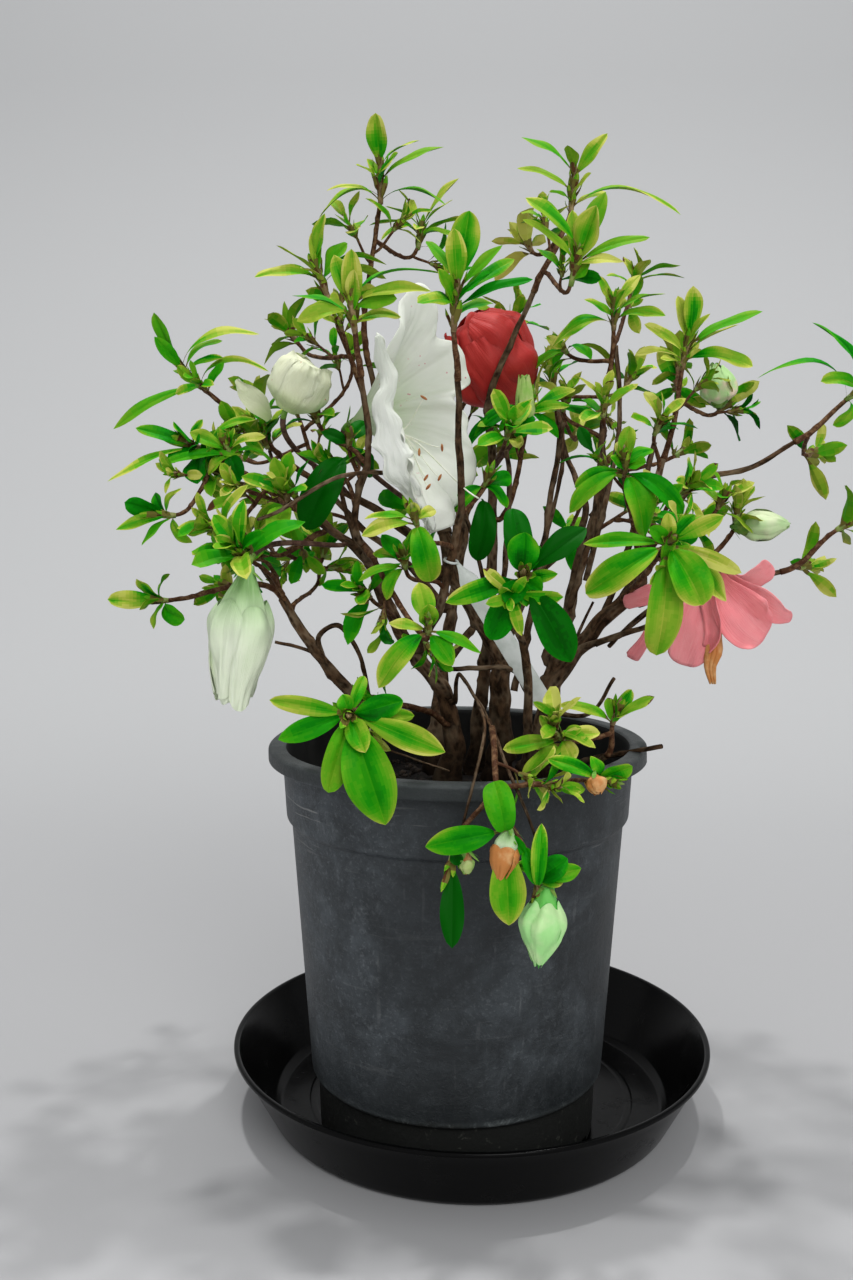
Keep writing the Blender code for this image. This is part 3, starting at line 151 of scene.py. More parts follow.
# Masses of leaves: the limb that carries the mass and how far along, then one row for each
# twig tip with its place, its number of leaves and the length of its longest leaf, unless the
# next table gives its leaves, and the direction that the tip points in. The first row is the
# end of the mass's main twig.
MASSES = {
    "leaves_top_left": ("bough_left_top", 1, (
        (-44, -18, 446, (0, 0, 1)),
        (-27, 25, 432, (0.2, 0.3, 1)),
    )),
    "leaves_upper_left": ("bough_left_top", 0.62, (
        (-68, -26, 402, (-0.4, 0, 1)),
        (-86, 10, 385, 6, 24, (-0.6, 0.4, 0.8)),
    )),
    "leaves_front_upper_left": ("bough_front_left", 1, (
        (-52, -98, 380, (-0.1, -0.4, 1)),
    )),
    "leaves_front_upper": ("stem_front_tall", 1, (
        (-12, -108, 380, (0.1, -0.3, 1)),
    )),
    "leaves_left_shoulder": ("bough_left_back", 1, (
        (-129, -18, 362, (-0.7, -0.1, 0.7)),
        (-104, 12, 352, 6, 25, (-0.4, 0.5, 0.8)),
        (-99, -10, 334, 6, 26, (-0.5, -0.4, 0.8)),
    )),
    "leaves_left": ("bough_left", 1, (
        (-126, -36, 333, (-0.9, -0.2, 0.4)),
        (-136, -54, 303, (-1, -0.3, 0.1)),
        (-112, -66, 298, 6, 25, (-0.6, -0.6, 0.2)),
        (-84, -60, 310, 6, 26, (-0.1, -0.7, 0.7)),
    )),
    "leaves_left_inner": ("bough_left", 0.8, (
        (-98, -22, 284, 7, 27, (-0.8, 0.1, 0.3)),
        (-112, 18, 290, 6, 26, (-0.9, 0.5, 0.2)),
        (-74, 8, 280, 6, 26, (0.1, 0.5, 0.8)),
    )),
    "leaves_left_low": ("stem_left_low", 1, (
        (-142, -45, 264, (-1, 0, 0.1)),
        (-112, -30, 262, 5, 22, (-0.6, 0.5, 0.3)),
    )),
    "leaves_front_left_low": ("stem_left", 0.34, (
        (-54, -116, 225, (0, -0.9, 0.1)),
    )),
    "leaves_front_centre": ("stem_front", 1, (
        (15, -124, 281, (0, -0.9, 0.35)),
    )),
    "leaves_front_left": ("bough_front_left", 0.10, (
        (-22, -118, 259, (0, -0.6, 0.6)),
    )),
    "leaves_front_hanging": ("bough_front_hanging", 1, (
        (8, -140, 182, (0.1, -0.5, -0.7)),
        (-12, -134, 172, (-0.2, -0.2, -1)),
        (46, -127, 200, (0.8, -0.5, 0)),
        (21, -142, 163, (0.1, -0.1, -1)),
    )),
    "leaves_rim_right": ("bough_rim_right", 1, (
        (60, -70, 212, (0.3, -0.1, 1)),
        (36, -86, 208, (-0.5, -0.6, 0.5)),
    )),
    "leaves_top_right": ("bough_right_top", 1, (
        (44, -15, 442, (0.1, 0, 1)),
        (40, -58, 404, (0.2, -0.3, 1)),
        (28, 12, 428, 6, 25, (-0.4, 0.5, 0.8)),
    )),
    "leaves_high_right": ("bough_right_high", 1, (
        (66, -6, 390, (0, -0.2, 1)),
        (78, 22, 410, (0.3, 0.3, 1)),
        (46, 14, 380, (-0.5, 0.3, 0.8)),
    )),
    "leaves_right": ("bough_right", 1, (
        (98, -12, 371, (0.2, -0.1, 1)),
        (122, 14, 352, 6, 26, (0.7, 0.4, 0.7)),
        (104, 30, 372, 5, 24, (0.3, 0.7, 0.8)),
    )),
    "leaves_far_right_high": ("bough_far_high", 1, (
        (174, -20, 356, (0.9, 0, 0.6)),
        (164, 6, 330, 6, 25, (0.7, 0.7, 0.2)),
    )),
    "leaves_far_right_low": ("bough_far_low", 1, (
        (167, -36, 296, 7, 28, (0.9, -0.1, 0.5)),
        (158, -10, 276, 5, 24, (0.7, 0.7, 0)),
    )),
    "leaves_right_middle": ("bough_far_low", 0.40, (
        (121, -30, 298, 6, 24, (0.2, 0, 1)),
    )),
    "leaves_right_front": ("bough_right", 0.12, (
        (62, -76, 322, (-0.1, -0.5, 0.8)),
    )),
    "leaves_right_front_low": ("stem_right", 0.93, (
        (76, -102, 293, (0.1, -0.8, 0.3)),
    )),
    "leaves_centre": ("stem_inner", 0.72, (
        (26, -10, 350, (0.2, -0.4, 0.9)),
    )),
    "leaves_back_high": ("stem_back", 1, (
        (-6, 72, 372, 6, 27, (0, 0.3, 1)),
        (22, 54, 398, 5, 25, (0.3, 0.1, 1)),
        (-32, 66, 350, 5, 25, (-0.6, 0.3, 0.7)),
    )),
    "leaves_back_centre": ("stem_back", 0.80, (
        (-4, 102, 318, 6, 28, (0, 1, 0.4)),
        (-30, 94, 300, 5, 26, (-0.5, 0.9, 0.2)),
    )),
    "leaves_back_left_high": ("bough_back_left", 1, (
        (-92, 68, 352, 6, 27, (-0.5, 0.3, 0.9)),
        (-62, 62, 378, 5, 25, (-0.1, 0.2, 1)),
        (-118, 48, 328, 5, 26, (-0.9, 0.3, 0.4)),
    )),
    "leaves_back_left_low": ("bough_back_left", 0.75, (
        (-84, 94, 284, 6, 27, (-0.6, 0.8, 0.1)),
        (-114, 62, 276, 5, 26, (-1, 0.4, 0.1)),
    )),
    "leaves_back_right": ("bough_back_right", 1, (
        (44, 54, 366, 6, 27, (-0.1, 0.3, 1)),
        (82, 58, 366, 5, 26, (0.5, 0.3, 0.9)),
        (60, 86, 340, 5, 26, (0.2, 0.9, 0.5)),
    )),
    "leaves_back_right_low": ("bough_back_low", 1, (
        (88, 84, 300, 6, 28, (0.7, 0.6, 0.4)),
        (58, 108, 286, 5, 27, (0.2, 1, 0.2)),
        (118, 56, 296, 5, 26, (1, 0.3, 0.4)),
    )),
}

# Leaves of the tips that show best: the tip's tone, then for each leaf how far right, up and
# out to the front of the tip's place it ends, its width, and how far up the shoot it starts.
LEAF_ENDS = {
    ("leaves_top_left", 0): (6.6, (
        (-2, 37, 3, 9, 16), (29, 23, 2, 6, 9), (18, 26, -6, 4, 15), (8, 20, 10, 10, 6),
        (30, -2, 4, 4, 0), (-25, 4, -8, 5, 0), (-28, -8, 6, 7, 2), (-11, 15, 6, 5, 8),
        (-6, 18, -6, 5, 10))),
    ("leaves_top_left", 1): (6.2, (
        (-10, 27, 4, 7, 8), (20, 32, 0, 8, 9), (17, 22, 6, 6, 8), (-16, 19, -4, 6, 9),
        (-24, 10, 3, 3, 6), (-18, 3, 8, 6, 5), (26, 13, -4, 4, 5), (18, 5, 6, 7, 4),
        (-1, 8, 14, 5, 5), (14, -13, 4, 5, 0))),
    ("leaves_upper_left", 0): (6.0, (
        (-1, 36, 2, 8, 15), (-6, 29, -4, 6, 10), (-23, 22, 0, 4, 8), (-33, 8, 4, 8, 7),
        (9, 23, 8, 13, 6), (27, 14, 2, 4, 8), (27, 8, -6, 4, 6), (-12, 12, 12, 6, 6))),
    ("leaves_front_upper_left", 0): (6.2, (
        (-8, 29, 0, 7, 8), (-1, 31, 5, 8, 6), (0, 23, 9, 6, 6), (35, 22, 0, 4, 12),
        (31, 15, 5, 7, 10), (17, 12, 9, 8, 8), (19, 5, -6, 5, 3), (-25, 13, 2, 4, 6),
        (-23, 3, 6, 7, 7), (-17, 10, -7, 4, 4))),
    ("leaves_front_upper", 0): (4.6, (
        (6, 44, 0, 11, 16), (0, 37, 7, 8, 14), (-11, 33, -5, 4, 16), (19, 31, 2, 5, 14),
        (24, 26, -4, 6, 12), (14, 20, 13, 10, 8), (-14, 9, 14, 9, 8), (16, 9, -6, 4, 4),
        (31, 18, 3, 6, 8), (-6, 22, 10, 7, 6))),
    ("leaves_top_right", 0): (6.8, (
        (-23, 32, 3, 8, 16), (-25, 19, -2, 5, 8), (-2, 28, 5, 4, 17), (16, 33, -3, 7, 15),
        (-10, 8, 8, 5, 3), (9, 16, 6, 6, 2), (16, 8, -8, 5, 2), (50, -3, 2, 4, 1))),
    ("leaves_top_right", 1): (6.8, (
        (-20, 35, 2, 9, 14), (-21, 26, 7, 6, 8), (0, 30, -5, 6, 6), (10, 31, 7, 12, 6),
        (14, 37, -4, 8, 12), (33, 18, 0, 5, 8), (22, 8, 7, 5, 7), (8, 8, 4, 7, 1))),
    ("leaves_high_right", 0): (5.8, (
        (-14, 13, 4, 6, 4), (5, 17, 8, 9, 4), (24, 15, 0, 4, 6), (24, 5, 5, 7, 3),
        (-29, -9, 6, 10, 2), (-2, 17, -5, 6, 6), (-8, 24, 2, 5, 9), (12, 24, -4, 6, 9))),
    ("leaves_high_right", 1): (6.2, (
        (1, 21, 3, 7, 8), (24, 12, 0, 4, 6), (26, 6, 6, 6, 4), (9, 15, 8, 6, 5),
        (-12, 8, 2, 5, 3), (-4, 17, -6, 5, 7))),
    ("leaves_right", 0): (7.0, (
        (4, 37, 2, 9, 12), (36, 25, -3, 7, 10), (32, 0, 6, 10, 3), (25, 19, 6, 6, 7),
        (-3, 33, -4, 6, 12), (-18, 20, 5, 6, 6), (-22, 6, 8, 6, 3), (12, 24, 9, 8, 7),
        (-10, 4, 12, 6, 0))),
    ("leaves_far_right_high", 0): (4.8, (
        (-17, 35, 4, 10, 6), (-41, 10, 6, 7, 0), (12, 30, -4, 8, 8), (20, 14, 8, 8, 4),
        (-12, 8, 14, 8, 3), (-6, -12, 6, 7, 0))),
    ("leaves_left_shoulder", 0): (5.6, (
        (-20, 33, 2, 7, 13), (-20, 22, 6, 6, 11), (28, 24, 3, 8, 12), (11, 21, -5, 5, 10),
        (11, 13, 7, 5, 7), (32, 7, 4, 5, 0), (-40, -20, 3, 6, 0), (-10, 9, 6, 5, 1))),
    ("leaves_left", 0): (4.6, (
        (-12, 12, 4, 11, 2), (-29, 9, 0, 3, 2), (-19, 6, -8, 5, 0), (-42, -15, 4, 6, 2),
        (-15, -7, 8, 9, 2), (-1, 2, 14, 9, 2), (1, 13, 2, 6, 4), (25, 13, 2, 5, -4),
        (19, -2, 6, 8, -5), (11, -20, 4, 8, -4), (-2, -16, 10, 12, -3))),
    ("leaves_left", 1): (4.4, (
        (-21, 6, 3, 9, 2), (-25, -6, 4, 6, 1), (-14, -13, 8, 6, 0), (4, 12, 5, 6, 3),
        (-8, 10, -6, 6, 3), (8, -12, 6, 6, 0))),
    ("leaves_left_low", 0): (5.0, (
        (-26, 1, 3, 8, 2), (-13, 10, 5, 8, 1), (8, -9, 8, 9, 0), (-6, -13, 5, 7, 0),
        (2, 12, -6, 6, 3), (-12, -4, 10, 6, 2))),
    ("leaves_front_centre", 0): (2.2, (
        (25, 20, 2, 10, 2), (-4, 28, -4, 11, 2), (1, 18, 9, 12, 4), (-30, -9.6, 4, 8, 0),
        (-12.4, -24, 4, 11, 0), (19.6, -32.5, 5, 14, 0), (-6, -10, 14, 9, 2),
        (14, 2, 4, 5, 0), (8, -5, 6, 8, 0), (2, -11, 6, 6, 0), (7, 13, 4, 5, 4))),
    ("leaves_right_front_low", 0): (6.0, (
        (-32.5, -20.5, 4, 12.5, 0), (-34, 0, 2, 4, 0), (15, -24, 10, 15.5, 1),
        (-3, -46, -3, 14, -3), (22.5, 12, 4, 7, 2), (11, 12.5, 2, 6, 3), (30, -11, 6, 3.5, 0),
        (16, -10, -3, 9, -2), (19, -15, -6, 7, -2), (25, -23, -8, 10, -4), (-7, 7, 12, 6, 3),
        (0, 13, 6, 6, 4))),
    ("leaves_right_front", 0): (5.2, (
        (-21, -6, 4, 6.5, 1), (-23, -17, 6, 8.5, 0), (9, -27, 4, 12.5, 0), (25, -17, 5, 8.5, 0),
        (1.5, 20, 2, 7, 5), (9, 4.5, 6, 4.5, 2), (12, 10, -3, 4, 3), (14.5, -12, -4, 8, -1),
        (-6, 6.5, 10, 6, 2), (-2, 14, -4, 6, 5))),
    ("leaves_front_left_low", 0): (5.3, (
        (-32.5, 6, 3, 7, 2), (-29, -10, 5, 8.5, 0), (-9, -31.5, 6, 11, 0), (14, -45, 3, 19, 0),
        (38.5, -16, 4, 10.5, 1), (21.5, 5, 6, 10, 3), (26.5, -1, -5, 6, 1), (6, 15.5, -3, 5, 3),
        (6, -15.5, 13, 9, 2), (-3, 8, 3, 4, 3))),
    ("leaves_front_left", 0): (5.0, (
        (-20, -22.5, 4, 10, 0), (-4, 20, -2, 9, 3), (0, 11, 9, 7.5, 2), (-16, 3.5, 4, 5, 1),
        (21, -8.5, 4, 5, 1), (9.7, -13.5, 6, 8, 0))),
    ("leaves_front_hanging", 0): (4.2, (
        (-31, -6, 4, 10.5, 0), (-4.4, 20, 2, 11, 0), (2, -36, -5, 13.5, -2), (8, -8, 2, 4, 0))),
    ("leaves_front_hanging", 1): (1.6, ((-0.5, -37, 2, 9, 2), (2, -5, 4, 5, 0))),
    ("leaves_front_hanging", 2): (4.6, (
        (-20, 8, 4, 6, 0), (-3, 9.5, 4, 6, 1), (13.7, 6, 3, 7, 0), (5, -3, 5, 4, 0))),
    ("leaves_front_hanging", 3): (4.0, (
        (1.3, 22.5, 2, 6, 2), (11.5, 9, 8, 9, 0), (17, 5.4, 2, 4.5, 0), (10, -0.5, 3, 5, 0),
        (-5, 13, 5, 6, 1), (-6, 8, -4, 6, 0))),
    ("leaves_rim_right", 0): (5.2, (
        (-24, 7, 3, 5.5, 0), (-2.5, 11, 3, 5.5, 0), (1, 9, 6, 5, 2), (8, 15, -2, 6, 2),
        (18, 12, 2, 5.5, 1), (6, 4, 6, 4, 0))),
    ("leaves_rim_right", 1): (6.4, (
        (-25.5, -5, 3, 7, 0), (-10, 10, -2, 5, 1), (16, 3, 4, 6.5, 1), (4.5, -10, 9, 9, 1),
        (-17, -20, 2, 9, -2), (8, 5, 6, 5, 1), (-12, -4, -5, 5, 0))),
    ("leaves_centre", 0): (3.8, (
        (-29, -16, 3, 9, 0), (-26, -11, 6, 5.5, 0), (-21, -1, 2, 5, 0), (-5, -12, 9, 10, 0),
        (35, -3.5, 3, 4.6, 0), (19, 3, 5, 6, 0), (22, 11, -5, 7, 2), (-14, -9, 9, 7, 0),
        (14, -12, 4, 6, 0))),
    ("leaves_high_right", 2): (6.8, (
        (-16, -8, 6, 7, 0), (-13, -26, 2, 4.6, 0), (24, -24, 4, 5, 0), (12, -4, 6, 9, 1),
        (-8, -16, -4, 6, -3), (2, 8, 5, 6, 3), (-10, 8, 2, 5, 2))),
}

# More tips that show: where, which way, tone, and leaves as in the table above
SEEN_TIPS = (
    ((-32, -80, 282), (-0.1, -0.3, 1), 5.2, (
        (-20, -6, 2, 5, 0), (-10, 14, 0, 7.5, 3), (5, 17, 2, 5, 4), (0, 4, 10, 6, 2),
        (-14, 6, -6, 5, 3), (12, -4, 3, 4.5, 0), (-8, -14, 3, 6, 0))),
    ((-27, -90, 301), (-0.2, -0.5, 0.8), 7.4, (
        (6, -24, 4, 11, 0), (-23, -5, 2, 7, 0), (-22, 2, -2, 4, 2), (-1, 9, 6, 6, 3),
        (8, 6, -4, 5, 2))),
    ((-57, -58, 334), (0.1, -0.5, 0.6), 1.4, (
        (-19, -37, 2, 15, -6), (10, -14, -3, 8, 0), (8, 10, -6, 8, 2), (-12, 6, 3, 6, 1))),
    ((4, -40, 316), (0.2, -0.3, 0.6), 2.4, (
        (-4, -34, 2, 11, -6), (-14, -12, 3, 7, 0), (12, 4, -4, 8, 0), (10, -10, 4, 7, 0))),
    ((-112, -40, 330), (-0.3, -0.3, 0.8), 5.0, (
        (-30, -4, 4, 5, 0), (-18, 10, 2, 7, 2), (16, 8, 3, 6, 2), (4, -12, 6, 8, 0),
        (-10, -9, 4, 6, 0), (2, 12, 5, 6, 3), (20, -6, -3, 6, 0))),
)

# Tones of the masses whose leaves grow by the rule, where they aren't of the middle tone
TONES = {"leaves_left_inner": 5.2, "leaves_left_low": 6.0, "leaves_right_middle": 7.0,
         "leaves_right": 6.6, "leaves_far_right_low": 6.6}
MIDDLE_TONE = 5.4

# More whorls on thin twigs inside the crown: place, direction, tone, longest leaf and count
FINER_TIPS = (
    ((-100, -80, 286), (-0.2, -0.4, 0.3), 4.4, 30, 9),
    ((-99, 0, 337), (-0.3, -0.2, 1), 5.0, 24, 7),
    ((-83, -22, 309), (-0.4, -0.5, 0.6), 4.4, 25, 7),
    ((-102, -20, 281), (-0.7, -0.3, 0.2), 4.6, 24, 7),
    ((-76, 10, 273), (-0.1, 0.4, 0.5), 4.6, 24, 6),
    ((-62, -48, 322), (-0.5, -0.4, 0.5), 3.8, 26, 7),
    ((-72, -40, 345), (-0.3, -0.3, 0.9), 4.2, 22, 6),
    ((-116, -30, 320), (-0.6, -0.3, 0.6), 4.8, 24, 7),
    ((14, -34, 338), (0.1, -0.6, 0.6), 3.8, 26, 7),
    ((44, 6, 352), (0.2, -0.3, 1), 5.6, 24, 6),
    ((84, -22, 340), (0.3, -0.4, 0.8), 5.6, 24, 7),
    ((92, -44, 312), (0.5, -0.5, 0.5), 5.0, 25, 7),
    ((58, -34, 348), (0, -0.4, 0.9), 6.0, 24, 6),
    ((112, -34, 306), (0.3, -0.4, 0.8), 5.6, 22, 6),
    ((-48, -66, 268), (-0.3, -0.6, 0.4), 3.8, 25, 6),
    ((33, -86, 212), (-0.1, -0.5, 0.7), 6.6, 22, 6),
    ((-20, 40, 352), (-0.2, 0.3, 1), 5.0, 24, 6),
    ((16, 66, 330), (0.3, 0.8, 0.6), 5.0, 24, 6),
    ((70, 66, 322), (0.5, 0.7, 0.5), 5.0, 24, 6),
    ((-60, 74, 326), (-0.4, 0.8, 0.5), 5.0, 24, 6),
    ((-100, 40, 304), (-0.8, 0.5, 0.3), 5.0, 24, 6),
    ((106, 40, 330), (0.7, 0.6, 0.5), 5.2, 24, 6),
)

# Thin stems inside the crown, arched and broken twigs: the radius, then where each passes
BARE_TWIGS = (
    (2.1, ((20, -12, 216), (30, -8, 262), (38, 2, 310), (44, 6, 346))),
    (2.0, ((34, -20, 222), (46, -26, 262), (55, -32, 300), (58, -34, 342))),
    (1.8, ((10, 0, 225), (15, 0, 270), (17, -14, 312), (14, -32, 332))),
    (2.0, ((62, -22, 256), (74, -20, 290), (80, -22, 318), (84, -22, 336))),
    (1.7, ((54, -12, 270), (62, -12, 304), (70, -4, 345), (68, -2, 382))),
    (1.5, ((16, 4, 232), (34, 12, 280), (46, 24, 330), (44, 50, 360))),
    (1.4, ((12, 4, 240), (0, 14, 290), (-14, 26, 328), (-20, 40, 346))),
    (1.5, ((-38, -26, 258), (-54, -36, 286), (-62, -46, 316))),
    (1.4, ((-66, -36, 294), (-92, -14, 318), (-99, 0, 332))),
    (1.5, ((-72, -36, 236), (-90, -30, 262), (-102, -20, 278))),
    (1.9, ((45, -32, 236), (51, -30, 240), (61, -45, 246), (79, -60, 255))),
    (1.2, ((64, -26, 240), (70, -35, 249), (76, -52, 259), (84, -70, 268))),
    (1.7, ((40, -26, 176), (55, -30, 186), (67, -45, 192), (84, -60, 199))),
    (1.6, ((34, -30, 208), (24, -40, 220), (16, -52, 233), (-1, -60, 235), (-16, -46, 232))),
    (1.2, ((-66, -34, 226), (-76, -34, 238), (-93, -40, 244))),
    (1.5, ((-70, -34, 232), (-73, -38, 246), (-63, -45, 252), (-53, -55, 240), (-49, -56, 222))),
    (1.3, ((36, -24, 208), (52, -50, 212), (62, -58, 230))),
    (1.0, ((46, -20, 232), (49, -28, 246), (55, -34, 262))),
    (0.9, ((44, -16, 226), (52, -24, 237), (63, -30, 244), (83, -36, 252))),
    (0.9, ((58, -24, 240), (71, -30, 248), (90, -36, 265))),
    (1.2, ((-40, -58, 322), (-50, -70, 322), (-64, -76, 319), (-84, -76, 307), (-96, -72, 302))),
    (0.6, ((-47, -60, 200), (-30, -78, 198), (-13, -95, 196))),
    (0.9, ((0, -72, 222), (2, -94, 214), (-4, -118, 195), (-10, -132, 176))),
    (0.9, ((4, -88, 217), (10, -112, 203), (18, -130, 186), (24, -140, 168))),
)

# The white flower's rim, in mm, round from the small lobe at its upper left over the top lobe,
# the two right ones and the bottom one, and up the ruffled edge of the one in front. Then the
# notches between its lobes, counted in places of the rim.
WHITE_RIM = (
    (-44.5, -62, 383), (-40, -60, 374), (-37, -56, 382), (-35, -50, 395), (-31, -45, 404),
    (-24, -40, 404), (-17.5, -34, 396), (-16, -33, 384), (-9, -26, 380), (-3, -24, 370),
    (-1, -24, 363.5), (-7, -29, 359), (-9, -31, 354), (-2.5, -28, 347), (-5, -31, 339),
    (-0.5, -32, 329), (-0.5, -36, 319), (-5, -42, 309), (-10, -49, 305), (-9.5, -52, 300),
    (-18, -58, 296), (-24, -62, 295), (-25.5, -66, 305), (-31, -74, 318), (-29.5, -78, 325),
    (-33, -77, 331), (-33, -77, 339), (-38, -74, 346), (-38, -72, 355), (-38, -69, 363),
    (-42, -65, 371),
)
WHITE_NOTCHES = (1, 7, 11.6, 18.2, 22.6)

# Its near petals rolled outwards: places down their middle as (right, up, out, half width) in mm
WHITE_BAND = (
    (-6.7, 35.5, -6, 1.2), (-4.6, 27.4, -3, 2.8), (-3.4, 18.9, 0, 4.4), (-2.6, 12.8, 3, 3.0),
    (-4.6, 6.6, 5, 4.0), (-3.0, -1.8, 7, 4.8), (-0.8, -9.5, 8, 7.2), (0.2, -17.2, 8, 7.2),
    (2.6, -23.4, 7, 5.2), (7.0, -29.5, 3, 4.0), (10.0, -34.9, -2, 3.0), (13.9, -41.8, -5, 3.0),
    (17.0, -48.0, -7, 2.4),
)

# The pink flower's petals: roll, cup, ruffle, and a line of (right, up, out, half width) in mm
PINK_PETALS = (
    (0.2, 0.30, 0.16, ((1, 0, 0, 1.5), (3, -8, 3, 6), (9, -17, 6, 11), (16, -25, 8, 12.5),
                       (23, -30, 7, 9.5))),
    (-0.1, 0.35, 0.16, ((2, 0, 0, 1.5), (10, -9, 2, 5), (20, -15, 4, 7), (29, -20, 5, 5),
                        (34, -21, 5, 2))),
    (-0.5, 0.25, 0.20, ((1, 0, -2, 1.5), (12, -6, 0, 4), (20, -2, 2, 5.5), (24, 3, 1, 4.5))),
    (0.1, 0.25, 0.20, ((0, 0, 0, 2), (-4, -12, 3, 7), (-7, -23, 6, 9.5), (-10, -34, 7, 10.5),
                       (-13, -44, 6, 8))),
    (0.6, 0.60, 0.25, ((-2, -2, -2, 2), (-14, -11, -1, 4), (-24, -20, 0, 3.6),
                       (-31, -33, 3, 2.6), (-37, -42, 3, 3.8))),
    (-0.3, 0.30, 0.15, ((-2, -1, -4, 2), (-18, -9, -6, 4.5), (-30, -13, -5, 5),
                        (-41, -17, -4, 3.4))),
    (-0.7, 0.40, 0.25, ((0, 0, 2, 2), (-2, -12, 6, 4.5), (0, -24, 9, 5), (0, -31, 10, 4.6),
                        (-3, -37, 8, 3))),
)

# The white flower's base, throat and heart, and where its threads and its pistil end
WHITE_BASE, WHITE_THROAT, WHITE_MIDDLE = (-59, -29, 344), (-37, -39, 353), (-37, -70, 345)
WHITE_STAMENS = ((-16, -61, 333), (-26, -64, 331), (-23, -64, 320), (-17, -62, 320),
                 (-22, -64, 316), (-24, -52, 355))
WHITE_PISTIL = ((0, -66, 311),)

# Radii of the withered threads under the pink flower
WITHERED_RADII = (0.9, 0.8, 0.9, 1.4, 1.8, 2.0, 1.6, 1.8, 2.1, 1.9, 1.5, 1.2, 1.0, 0.8, 0.5)

# Outlines of closed blooms and buds as (share of the length, share of the widest radius)
OUTLINES = {
    "domed": ((0, 0.25), (0.15, 0.66), (0.4, 0.98), (0.7, 1.0), (0.9, 0.72), (1, 0.35)),
    "furled": ((0, 0.18), (0.10, 0.36), (0.26, 0.74), (0.42, 1.0), (0.60, 0.88), (0.80, 0.62),
               (1, 0.40)),
    "plump": ((0, 0.35), (0.25, 0.92), (0.6, 1.0), (0.85, 0.90), (1, 0.62)),
    "bud": ((0, 0.35), (0.3, 1.0), (0.65, 0.85), (1, 0.12)),
    "cone": ((0, 0.9), (0.25, 1.0), (0.6, 0.78), (1, 0.40)),
    "pointed": ((0, 0.30), (0.2, 0.60), (0.42, 1.0), (0.56, 0.90), (0.8, 0.45), (1, 0.02)),
}

# The closed flowers by node: piece, slot, finish, place, direction, radius and length, outline,
# petals as (bearing, half width, start, end, lift), seed, crumple, seat, and length of sepals
CLOSED_FLOWERS = {
    "bloom_red": (
        "red_flower", "petal_red", "red_petal", (27, 26, 356), (-0.62, -0.24, 0.74),
        (19.5, 52), "domed",
        ((20, 50, 0.10, 0.90, 0.10), (75, 52, 0.12, 1.02, 0.16), (140, 50, 0.08, 0.86, 0.10),
         (200, 54, 0.14, 1.00, 0.18), (265, 50, 0.10, 0.92, 0.12), (325, 52, 0.16, 0.98, 0.16)),
        640, 0.10, ("stem_inner", 0.86), 8),
    "bloom_white_closed": (
        "closed_white_flower", "petal_green_white", "green_white_petal", (-99, -82, 283),
        (-0.13, -0.06, -1.0), (13.5, 61), "furled",
        ((20, 46, 0.25, 1.00, 0.12), (95, 44, 0.23, 0.93, 0.10), (168, 46, 0.27, 1.02, 0.12),
         (240, 44, 0.24, 0.95, 0.10), (312, 46, 0.26, 0.98, 0.12)),
        700, 0.11, ("bough_left", 0.62), 9),
    "bud_cream": (
        "cream_bud", "petal_cream", "cream_petal", (-86, -46, 350), (0.50, -0.12, 0.86),
        (12.5, 24), "plump",
        ((10, 50, 0.08, 0.98, 0.08), (85, 48, 0.05, 1.06, 0.10), (160, 50, 0.10, 0.94, 0.08),
         (230, 48, 0.06, 1.02, 0.12), (300, 50, 0.08, 1.04, 0.06)),
        720, 0.08, ("bough_left_back", 0.80), 0),
}
CREAM_LOOSE_PETAL = ((0, 0, 0, 1.5), (-5, 7, 0, 5.5), (-11, 13, 1, 4.5), (-15, 18, 2, 0.8))

# The smaller buds: place, direction, radius, length, outline, the share where the petals start,
# and the finishes of the petals and of the core. Then each petal's bearing and end.
SMALL_BUDS = (
    ((10, -140, 186), (-0.2, -0.25, -1), 5.2, 21, "bud", 0.34, 1, 0),
    ((25, -142, 163), (-0.1, 0, -1), 9.0, 34, "pointed", 0.16, 4, 5),
    ((122, 14, 352), (-0.2, -0.3, 1), 8, 22, "bud", 0.12, 6, 2),
    ((118, -32, 297), (1.0, -0.2, 0.05), 6.8, 25, "bud", 0.20, 7, 2),
    ((24, -12, 342), (-0.04, -0.2, 1), 4.0, 24, "cone", 0.10, 3, 2),
    ((-7, -133, 174), (0, -0.1, -1), 2.8, 9, "bud", 0.30, 3, 1),
    ((44, -131, 205), (0.1, -0.5, -0.9), 3.6, 8, "bud", 0.05, 1, 1),
)
BUD_PETALS = ((0, 0.96), (75, 1.0), (148, 0.94), (220, 0.98), (290, 1.0))
CORE_PLEATS, CORE_TWIST = 0.07, 0.8
PETAL_THICKNESS = 0.35 * MM
STALK_RADII, GREEN_STALK = (1.1 * MM, 1.4 * MM), 7.0 * MM

# Finishes of the buds after the green-white petal, and of the joined stalks and sepals
BUD_FINISHES = ("withered_brown", "sepal_green", "bud_lime", "bud_mint", "bud_fresh_green",
                "bud_blushed", "bud_soft_green")
PART_FINISHES = ("thread_white", "anther_brown", "sepal_green", "withered_brown", "stalk_brown")
THREAD, ANTHER, GREEN, BROWN, BARK = range(len(PART_FINISHES))

# Twigs: radii at the foot and at the tip, and how much of a foot's radius a seat allows for
LEADER_RADII, SIDE_TWIG_RADII = (1.5 * MM, 1.0 * MM), (1.1 * MM, 0.9 * MM)
SHOOT_RADII, SHOOT_SPACING = (0.75 * MM, 0.6 * MM), 34 * MM
TWIG_FOOT_SHARE = 0.7
TWIG_SIDES = 7

